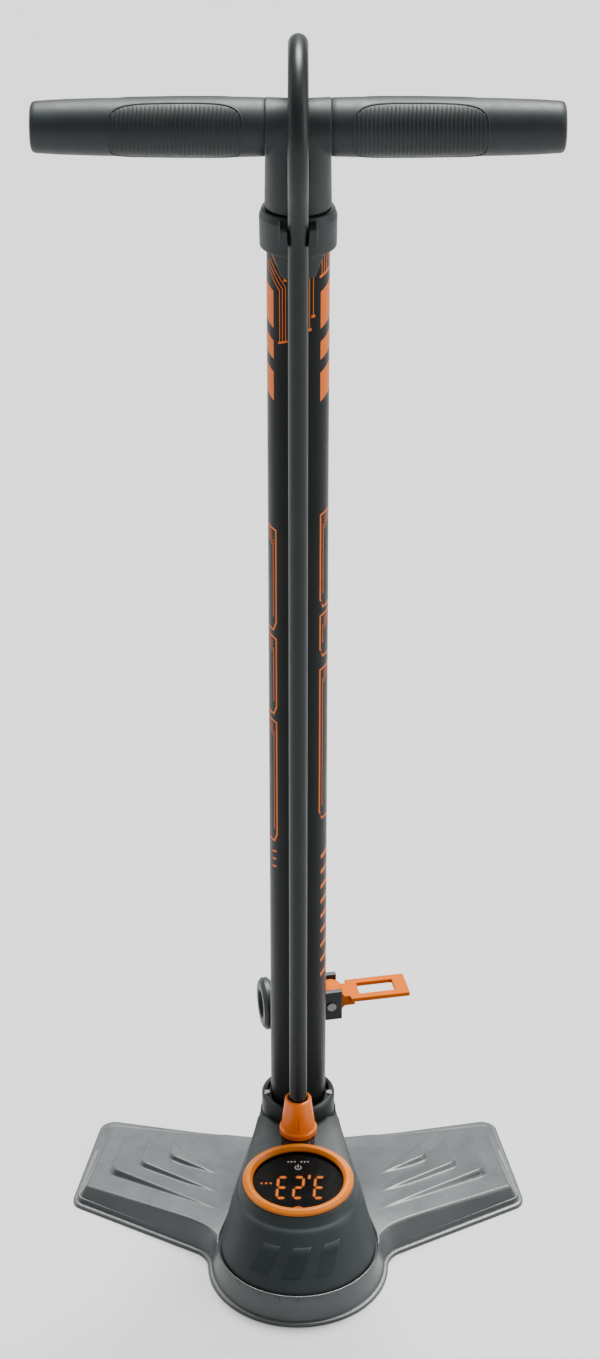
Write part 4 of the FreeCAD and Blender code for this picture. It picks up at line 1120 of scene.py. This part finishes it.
class FLOORPUMP_OT_hub(bpy.types.Operator):
    """Make the handle's hub: a neck that widens into the crossing tube, hollowed where the hose lies"""
    bl_idname = "floor_pump.hub"
    bl_label = "Handle Hub"

    def execute(self, context):
        neck = [hub_section(609.6, 16.9, 16.9, 2), hub_section(622, 16.7, 16.6, 2.1),
                hub_section(636, 16.5, 15.6, 2.6), hub_section(GRIP_HEIGHT, 16.2, HUB_RADIUS, 3.4),
                hub_section(655, 12.5, 12.0, 2.6)]
        hub = loose_object("handle_middle", loft(neck))
        outline = [(0, -HUB_HALF), (14.2, -HUB_HALF), (HUB_RADIUS, -HUB_HALF + 0.5), (14.3, -9), (13.9, 0),
                   (14.3, 9), (HUB_RADIUS, HUB_HALF - 0.5), (14.2, HUB_HALF), (0, HUB_HALF)]
        vertices, faces = lathe(outline, 96)
        crossing = [(z, x, y + GRIP_HEIGHT) for x, y, z in vertices], faces
        carve(hub, loose_object("crossing", crossing), "UNION")
        hollow = []
        for z, y, radius in ((608, -27.9, 10.0), (618, -27.0, 11.2), (632, -27.4, 13.4), (644, -31.4, 17.2),
                             (668, -38.0, 22.0)):
            hollow.append([(radius * math.cos(a), y + radius * math.sin(a), z)
                           for a in (math.tau * i / 64 for i in range(64))])
        carve(hub, loose_object("hollow", loft(hollow)))
        bore = [(0, 600), (5.4, 600), (5.4, 640), (0, 640)]
        carve(hub, loose_object("rod_bore", lathe(bore, 48)))
        mesh = soften(hub, 0.45, 6, 0.6)
        add_mesh("handle_middle", mesh, "handle", "handle", ("handle_hub",), crease=70)
        return {"FINISHED"}


# ---------------------------------------------------------------- grips

GRIP_START = 16.2
PANEL_MIDDLE = 60.0
PANEL_HALF = 33.0
PANEL_TURN = 66.0


def grip_radius(x):
    """The grip's radius so far along from the hub."""
    return float(np.interp(x, [16, 30, 60, 100, 118, 128.5], [14.35, 14.68, 14.6, 14.0, 13.4, 12.75]))


def grip_solid(side):
    """One grip, turned along the handle, with a rounded end."""
    stations = [(0.0, HANDLE_REACH - 0.01), (10.6, HANDLE_REACH), (12.0, HANDLE_REACH - 0.7),
                (12.65, HANDLE_REACH - 2.0)]
    spots = list(np.linspace(128.3, GRIP_START + 0.9, 46))
    stations += [(grip_radius(x), x) for x in spots]
    stations += [(13.9, GRIP_START + 0.1), (13.0, GRIP_START), (11.2, GRIP_START)]
    stations += [(11.2, HANDLE_REACH - 4), (0.0, HANDLE_REACH - 4)]
    vertices, faces = lathe([(r, x) for r, x in stations], 96)
    return [(z * side, x, y + GRIP_HEIGHT) for x, y, z in vertices], faces


def panel_edge(side, face_way):
    """The raised line round the ribbed panel, as a closed round bead sunk into the grip."""
    line = []
    count = 120
    for i in range(count):
        angle = math.tau * i / count
        c, s = math.cos(angle), math.sin(angle)
        x = PANEL_MIDDLE + PANEL_HALF * math.copysign(abs(c) ** 0.5, c)
        turn = math.radians(PANEL_TURN + 4) * math.copysign(abs(s) ** 0.5, s)
        radius = grip_radius(x) - 0.15
        y = -face_way * radius * math.cos(turn)
        z = GRIP_HEIGHT + radius * math.sin(turn)
        line.append(Vector((x * side, y, z)))
    outlines = []
    for i, spot in enumerate(line):
        way = (line[(i + 1) % count] - line[i - 1]).normalized()
        out = Vector((0, spot.y, spot.z - GRIP_HEIGHT)).normalized()
        across = way.cross(out)
        outlines.append([tuple(spot + (out * math.cos(a) + across * math.sin(a)) * 0.55)
                         for a in (math.tau * k / 8 for k in range(8))])
    vertices, faces = loft(outlines, False, False)
    last = (count - 1) * 8
    for k in range(8):
        j = (k + 1) % 8
        faces.append([last + k, last + j, j, k])
    return vertices, faces


def sock(tree, name, kind, value):
    """A named input of a node tree."""
    item = tree.interface.new_socket(name=name, in_out="INPUT", socket_type=kind)
    item.default_value = value
    return item


def compute(tree, operation, *values):
    """A maths node; values are numbers or outputs."""
    node = tree.nodes.new("ShaderNodeMath")
    node.operation = operation
    for i, value in enumerate(values):
        if isinstance(value, (int, float)):
            node.inputs[i].default_value = value
        else:
            tree.links.new(value, node.inputs[i])
    return node.outputs[0]


PANEL_EDGE_STEEPNESS = 8.0
RIB_SINK = 1.2
RIB_SEAT = 0.28
TAPER_START = 60
TAPER_SLOPE = 0.015


def rib_tree(material):
    """A node tree that rings a grip with fine ribs and lets them sink away outside an oval panel."""
    tree = bpy.data.node_groups.new("grip_ribs", "GeometryNodeTree")
    tree.interface.new_socket(name="Geometry", in_out="OUTPUT", socket_type="NodeSocketGeometry")
    sock(tree, "Ribs", "NodeSocketInt", 31)
    sock(tree, "Pitch", "NodeSocketFloat", 2.05 * MM)
    sock(tree, "Start", "NodeSocketFloat", 29.2 * MM)
    sock(tree, "Grip Radius", "NodeSocketFloat", 14.66 * MM)
    sock(tree, "Rib Radius", "NodeSocketFloat", 0.55 * MM)
    sock(tree, "Panel Turn", "NodeSocketFloat", math.radians(PANEL_TURN))
    sock(tree, "Mirror", "NodeSocketFloat", 0.0)
    new = tree.nodes.new
    link = tree.links.new
    given = new("NodeGroupInput").outputs
    line = new("GeometryNodeMeshLine")
    start = new("ShaderNodeCombineXYZ")
    step = new("ShaderNodeCombineXYZ")
    link(given["Start"], start.inputs["X"])
    link(given["Pitch"], step.inputs["X"])
    link(given["Ribs"], line.inputs["Count"])
    link(start.outputs[0], line.inputs["Start Location"])
    link(step.outputs[0], line.inputs["Offset"])
    hoop = new("GeometryNodeCurvePrimitiveCircle")
    hoop.inputs["Resolution"].default_value = 64
    link(given["Grip Radius"], hoop.inputs["Radius"])
    section = new("GeometryNodeCurvePrimitiveCircle")
    section.inputs["Resolution"].default_value = 6
    link(given["Rib Radius"], section.inputs["Radius"])
    rib = new("GeometryNodeCurveToMesh")
    link(hoop.outputs[0], rib.inputs["Curve"])
    link(section.outputs[0], rib.inputs["Profile Curve"])
    upright = new("GeometryNodeTransform")
    upright.inputs["Rotation"].default_value = (0, math.pi / 2, 0)
    link(rib.outputs[0], upright.inputs["Geometry"])
    copies = new("GeometryNodeInstanceOnPoints")
    link(line.outputs[0], copies.inputs["Points"])
    link(upright.outputs[0], copies.inputs["Instance"])
    real = new("GeometryNodeRealizeInstances")
    link(copies.outputs[0], real.inputs[0])
    place = new("ShaderNodeSeparateXYZ")
    link(new("GeometryNodeInputPosition").outputs[0], place.inputs[0])
    x, y, z = place.outputs
    up = compute(tree, "ABSOLUTE", z)
    out = compute(tree, "ABSOLUTE", y)
    turn = compute(tree, "ARCTAN2", up, out)
    off_middle = compute(tree, "SUBTRACT", x, PANEL_MIDDLE * MM)
    along = compute(tree, "DIVIDE", off_middle, PANEL_HALF * MM)
    along = compute(tree, "ABSOLUTE", along)
    fourth = compute(tree, "POWER", along, 4.0)
    left = compute(tree, "SUBTRACT", 1.0, fourth)
    left = compute(tree, "MAXIMUM", left, 0.0)
    shrink = compute(tree, "POWER", left, 0.25)
    edge = compute(tree, "MULTIPLY", given["Panel Turn"], shrink)
    past = compute(tree, "SUBTRACT", turn, edge)
    share_sunk = compute(tree, "MULTIPLY", past, PANEL_EDGE_STEEPNESS)
    share_sunk = compute(tree, "MAXIMUM", share_sunk, 0.0)
    share_sunk = compute(tree, "MINIMUM", share_sunk, 1.0)
    sunk = compute(tree, "MULTIPLY", share_sunk, RIB_SINK * MM)
    past_waist = compute(tree, "SUBTRACT", x, TAPER_START * MM)
    past_waist = compute(tree, "MAXIMUM", past_waist, 0.0)
    taper = compute(tree, "MULTIPLY", past_waist, TAPER_SLOPE)
    drop = compute(tree, "ADD", sunk, taper)
    drop = compute(tree, "ADD", drop, RIB_SEAT * MM)
    share = compute(tree, "DIVIDE", drop, given["Grip Radius"])
    keep = compute(tree, "SUBTRACT", 1.0, share)
    spot = new("ShaderNodeCombineXYZ")
    link(x, spot.inputs["X"])
    link(compute(tree, "MULTIPLY", y, keep), spot.inputs["Y"])
    link(compute(tree, "MULTIPLY", z, keep), spot.inputs["Z"])
    moved = new("GeometryNodeSetPosition")
    link(real.outputs[0], moved.inputs["Geometry"])
    link(spot.outputs[0], moved.inputs["Position"])
    placed = new("GeometryNodeTransform")
    placed.inputs["Translation"].default_value = (0, AXIS_Y * MM, GRIP_HEIGHT * MM)
    swing = new("ShaderNodeCombineXYZ")
    link(given["Mirror"], swing.inputs["Y"])
    link(swing.outputs[0], placed.inputs["Rotation"])
    link(moved.outputs[0], placed.inputs["Geometry"])
    coloured = new("GeometryNodeSetMaterial")
    coloured.inputs["Material"].default_value = material
    link(placed.outputs[0], coloured.inputs["Geometry"])
    link(coloured.outputs[0], new("NodeGroupOutput").inputs[0])
    return tree


def grown(name, tree, inputs):
    """Run a node tree on an empty mesh with some inputs set, and return its result as a plain mesh."""
    helper = bpy.data.objects.new(name, bpy.data.meshes.new(name))
    bpy.context.collection.objects.link(helper)
    modifier = helper.modifiers.new(name, "NODES")
    modifier.node_group = tree
    for item in tree.interface.items_tree:
        if item.in_out == "INPUT" and item.name in inputs:
            modifier[item.identifier] = inputs[item.name]
    graph = bpy.context.evaluated_depsgraph_get()
    mesh = bpy.data.meshes.new_from_object(helper.evaluated_get(graph))
    helper.modifiers.clear()
    bpy.data.objects.remove(helper)
    return mesh


class FLOORPUMP_OT_grips(bpy.types.Operator):
    """Turn both grips, bead their panels and grow the ribs"""
    bl_idname = "floor_pump.grips"
    bl_label = "Grips"

    def execute(self, context):
        tree = rib_tree(FINISH["handle"])
        for side, word in ((-1, "left"), (1, "right")):
            solid = joined(grip_solid(side), panel_edge(side, 1), panel_edge(side, -1))
            add_piece("grip_shell_" + word, *solid, "handle", "handle", "grip_plastic", ("grip_" + word,))
            mesh = grown("grip_ribs_" + word, tree, {"Mirror": 0.0 if side > 0 else math.pi})
            add_mesh("grip_ribs_" + word, mesh, "handle", "handle", crease=80)
        return {"FINISHED"}


# ---------------------------------------------------------------- plain nodes, stage, panel

class FLOORPUMP_OT_nodes(bpy.types.Operator):
    """Give every CAD piece that shows as it is its finish"""
    bl_idname = "floor_pump.nodes"
    bl_label = "Inner Pieces"

    def execute(self, context):
        for finish, nodes in NODE_FINISH.items():
            for name in nodes:
                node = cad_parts[name]
                if not node.material_slots:
                    node.data.materials.append(FINISH[finish])
                for slot in node.material_slots:
                    slot.material = FINISH[finish]
        return {"FINISHED"}


WORLD_STRENGTH = 0.4
KEY_SPREAD = 30
KEY_STRENGTH = 12.5
KEY_FROM = (0.1, 0.52, 1.0)
FLOOR_HALF_WIDTH = 40.0


def area_light(name, place, aim, size, power, colour=(1, 1, 1)):
    light = bpy.data.lights.new(name, "AREA")
    light.shape = "RECTANGLE"
    light.size, light.size_y = size
    light.energy = power
    light.color = colour
    lamp = bpy.data.objects.new(name, light)
    lamp.location = place
    lamp.rotation_euler = (Vector(aim) - Vector(place)).to_track_quat("-Z", "Y").to_euler()
    bpy.context.collection.objects.link(lamp)


class FLOORPUMP_OT_stage(bpy.types.Operator):
    """Set the floor, the soft lights and the camera"""
    bl_idname = "floor_pump.stage"
    bl_label = "Stage"

    def execute(self, context):
        wide = FLOOR_HALF_WIDTH
        mesh = bpy.data.meshes.new("floor")
        corners = [(-wide, -wide, 0), (wide, -wide, 0), (wide, wide, 0), (-wide, wide, 0)]
        mesh.from_pydata(corners, [], [(0, 1, 2, 3)])
        material, tree, principled, here = shader("pale_floor", (0.44, 0.44, 0.44), Roughness=0.9)
        mesh.materials.append(material)
        floor = bpy.data.objects.new("floor", mesh)
        context.collection.objects.link(floor)
        world = bpy.data.worlds.new("studio")
        world.use_nodes = True
        world.node_tree.nodes["Background"].inputs["Color"].default_value = (0.97, 0.985, 1.0, 1)
        world.node_tree.nodes["Background"].inputs["Strength"].default_value = WORLD_STRENGTH
        context.scene.world = world
        sun = bpy.data.lights.new("sky_key", "SUN")
        sun.energy = KEY_STRENGTH
        sun.angle = math.radians(KEY_SPREAD)
        lamp = bpy.data.objects.new("sky_key", sun)
        lamp.rotation_euler = Vector(KEY_FROM).to_track_quat("Z", "Y").to_euler()
        context.collection.objects.link(lamp)
        area_light("right_strip", (1.3, -0.15, 1.0), (0, 0.05, 0.45), (0.35, 1.2), 11)
        area_light("left_strip", (-1.4, 0.5, 0.8), (0, 0.05, 0.4), (0.3, 1.4), 5)
        sizes = context.scene.floor_pump_sizes
        camera_data = bpy.data.cameras.new("camera")
        camera_data.lens = sizes.lens
        camera_data.shift_x = 0.00136
        camera = bpy.data.objects.new("camera", camera_data)
        camera.location = (0, AXIS_Y * MM - sizes.camera_distance * MM, sizes.camera_height * MM)
        camera.rotation_euler = (math.pi / 2 - sizes.camera_tilt, 0, 0)
        context.collection.objects.link(camera)
        context.scene.camera = camera
        return {"FINISHED"}


def colour_prop(name, words, value):
    """A colour that the panel shows."""
    return bpy.props.FloatVectorProperty(name=name, description=words, default=value, subtype="COLOR",
                                         min=0, max=1)


class FloorPumpColours(bpy.types.PropertyGroup):
    """The colours that a user would change"""
    dark_plastic: colour_prop("Dark plastic", "Housing, handle and valve head", (0.015, 0.0195, 0.0195))
    foot: colour_prop("Foot", "The foot's grey plastic", (0.06, 0.066, 0.067))
    barrel: colour_prop("Barrel", "Paint of the barrel", (0.0028, 0.0042, 0.004))
    hose: colour_prop("Hose", "Cover of the hose", (0.0075, 0.0105, 0.0105))
    orange: colour_prop("Orange", "Gland, lever and printed marks", (0.86, 0.165, 0.0))
    ring: colour_prop("Gauge ring", "Paint of the gauge ring", (0.9, 0.22, 0.0))


class FloorPumpSizes(bpy.types.PropertyGroup):
    """The hose's size and the camera's place, each in the unit that its description gives"""
    hose_diameter: bpy.props.FloatProperty(name="Hose diameter", description="Outside of the hose, in metres",
                                           default=0.0102, unit="LENGTH")
    lens: bpy.props.FloatProperty(name="Lens", description="Focal length of the camera", default=77.88,
                                  unit="CAMERA")
    camera_distance: bpy.props.FloatProperty(
        name="Camera distance", description="Camera in front of the barrel, in millimetres", default=1388.17)
    camera_height: bpy.props.FloatProperty(
        name="Camera height", description="Camera over the floor, in millimetres", default=1128.1)
    camera_tilt: bpy.props.FloatProperty(name="Camera tilt", description="How far the camera looks down",
                                         default=math.radians(29.648), subtype="ANGLE")


STEPS_IN_ORDER = ("stage", "nodes", "foot", "housing", "housing_mark", "barrel", "gauge", "gland", "moulded",
                  "spring", "hub", "grips", "hose")


class FLOORPUMP_PT_panel(bpy.types.Panel):
    """The pump's pieces, in the order in which they are made"""
    bl_idname = "FLOORPUMP_PT_panel"
    bl_label = "Floor Pump"
    bl_space_type = "VIEW_3D"
    bl_region_type = "UI"
    bl_category = "Floor Pump"

    def draw(self, context):
        for name in STEPS_IN_ORDER:
            self.layout.operator("floor_pump." + name)
        for group in (context.scene.floor_pump_colours, context.scene.floor_pump_sizes):
            for name in group.bl_rna.properties.keys():
                if name not in ("name", "rna_type"):
                    self.layout.prop(group, name)


CLASSES = (
    FloorPumpColours, FloorPumpSizes, FLOORPUMP_OT_stage, FLOORPUMP_OT_nodes, FLOORPUMP_OT_foot,
    FLOORPUMP_OT_housing, FLOORPUMP_OT_housing_mark, FLOORPUMP_OT_barrel, FLOORPUMP_OT_gauge,
    FLOORPUMP_OT_gland, FLOORPUMP_OT_moulded, FLOORPUMP_OT_spring, FLOORPUMP_OT_hub,
    FLOORPUMP_OT_grips, FLOORPUMP_OT_hose, FLOORPUMP_PT_panel,
)


def register():
    for one in CLASSES:
        bpy.utils.register_class(one)
    bpy.types.Scene.floor_pump_colours = bpy.props.PointerProperty(type=FloorPumpColours)
    bpy.types.Scene.floor_pump_sizes = bpy.props.PointerProperty(type=FloorPumpSizes)


def unregister():
    del bpy.types.Scene.floor_pump_sizes
    del bpy.types.Scene.floor_pump_colours
    for one in reversed(CLASSES):
        bpy.utils.unregister_class(one)


def main():
    register()
    FINISH.update(make_finishes())
    for name in STEPS_IN_ORDER:
        getattr(bpy.ops.floor_pump, name)()


if __name__ == "__main__":
    main()
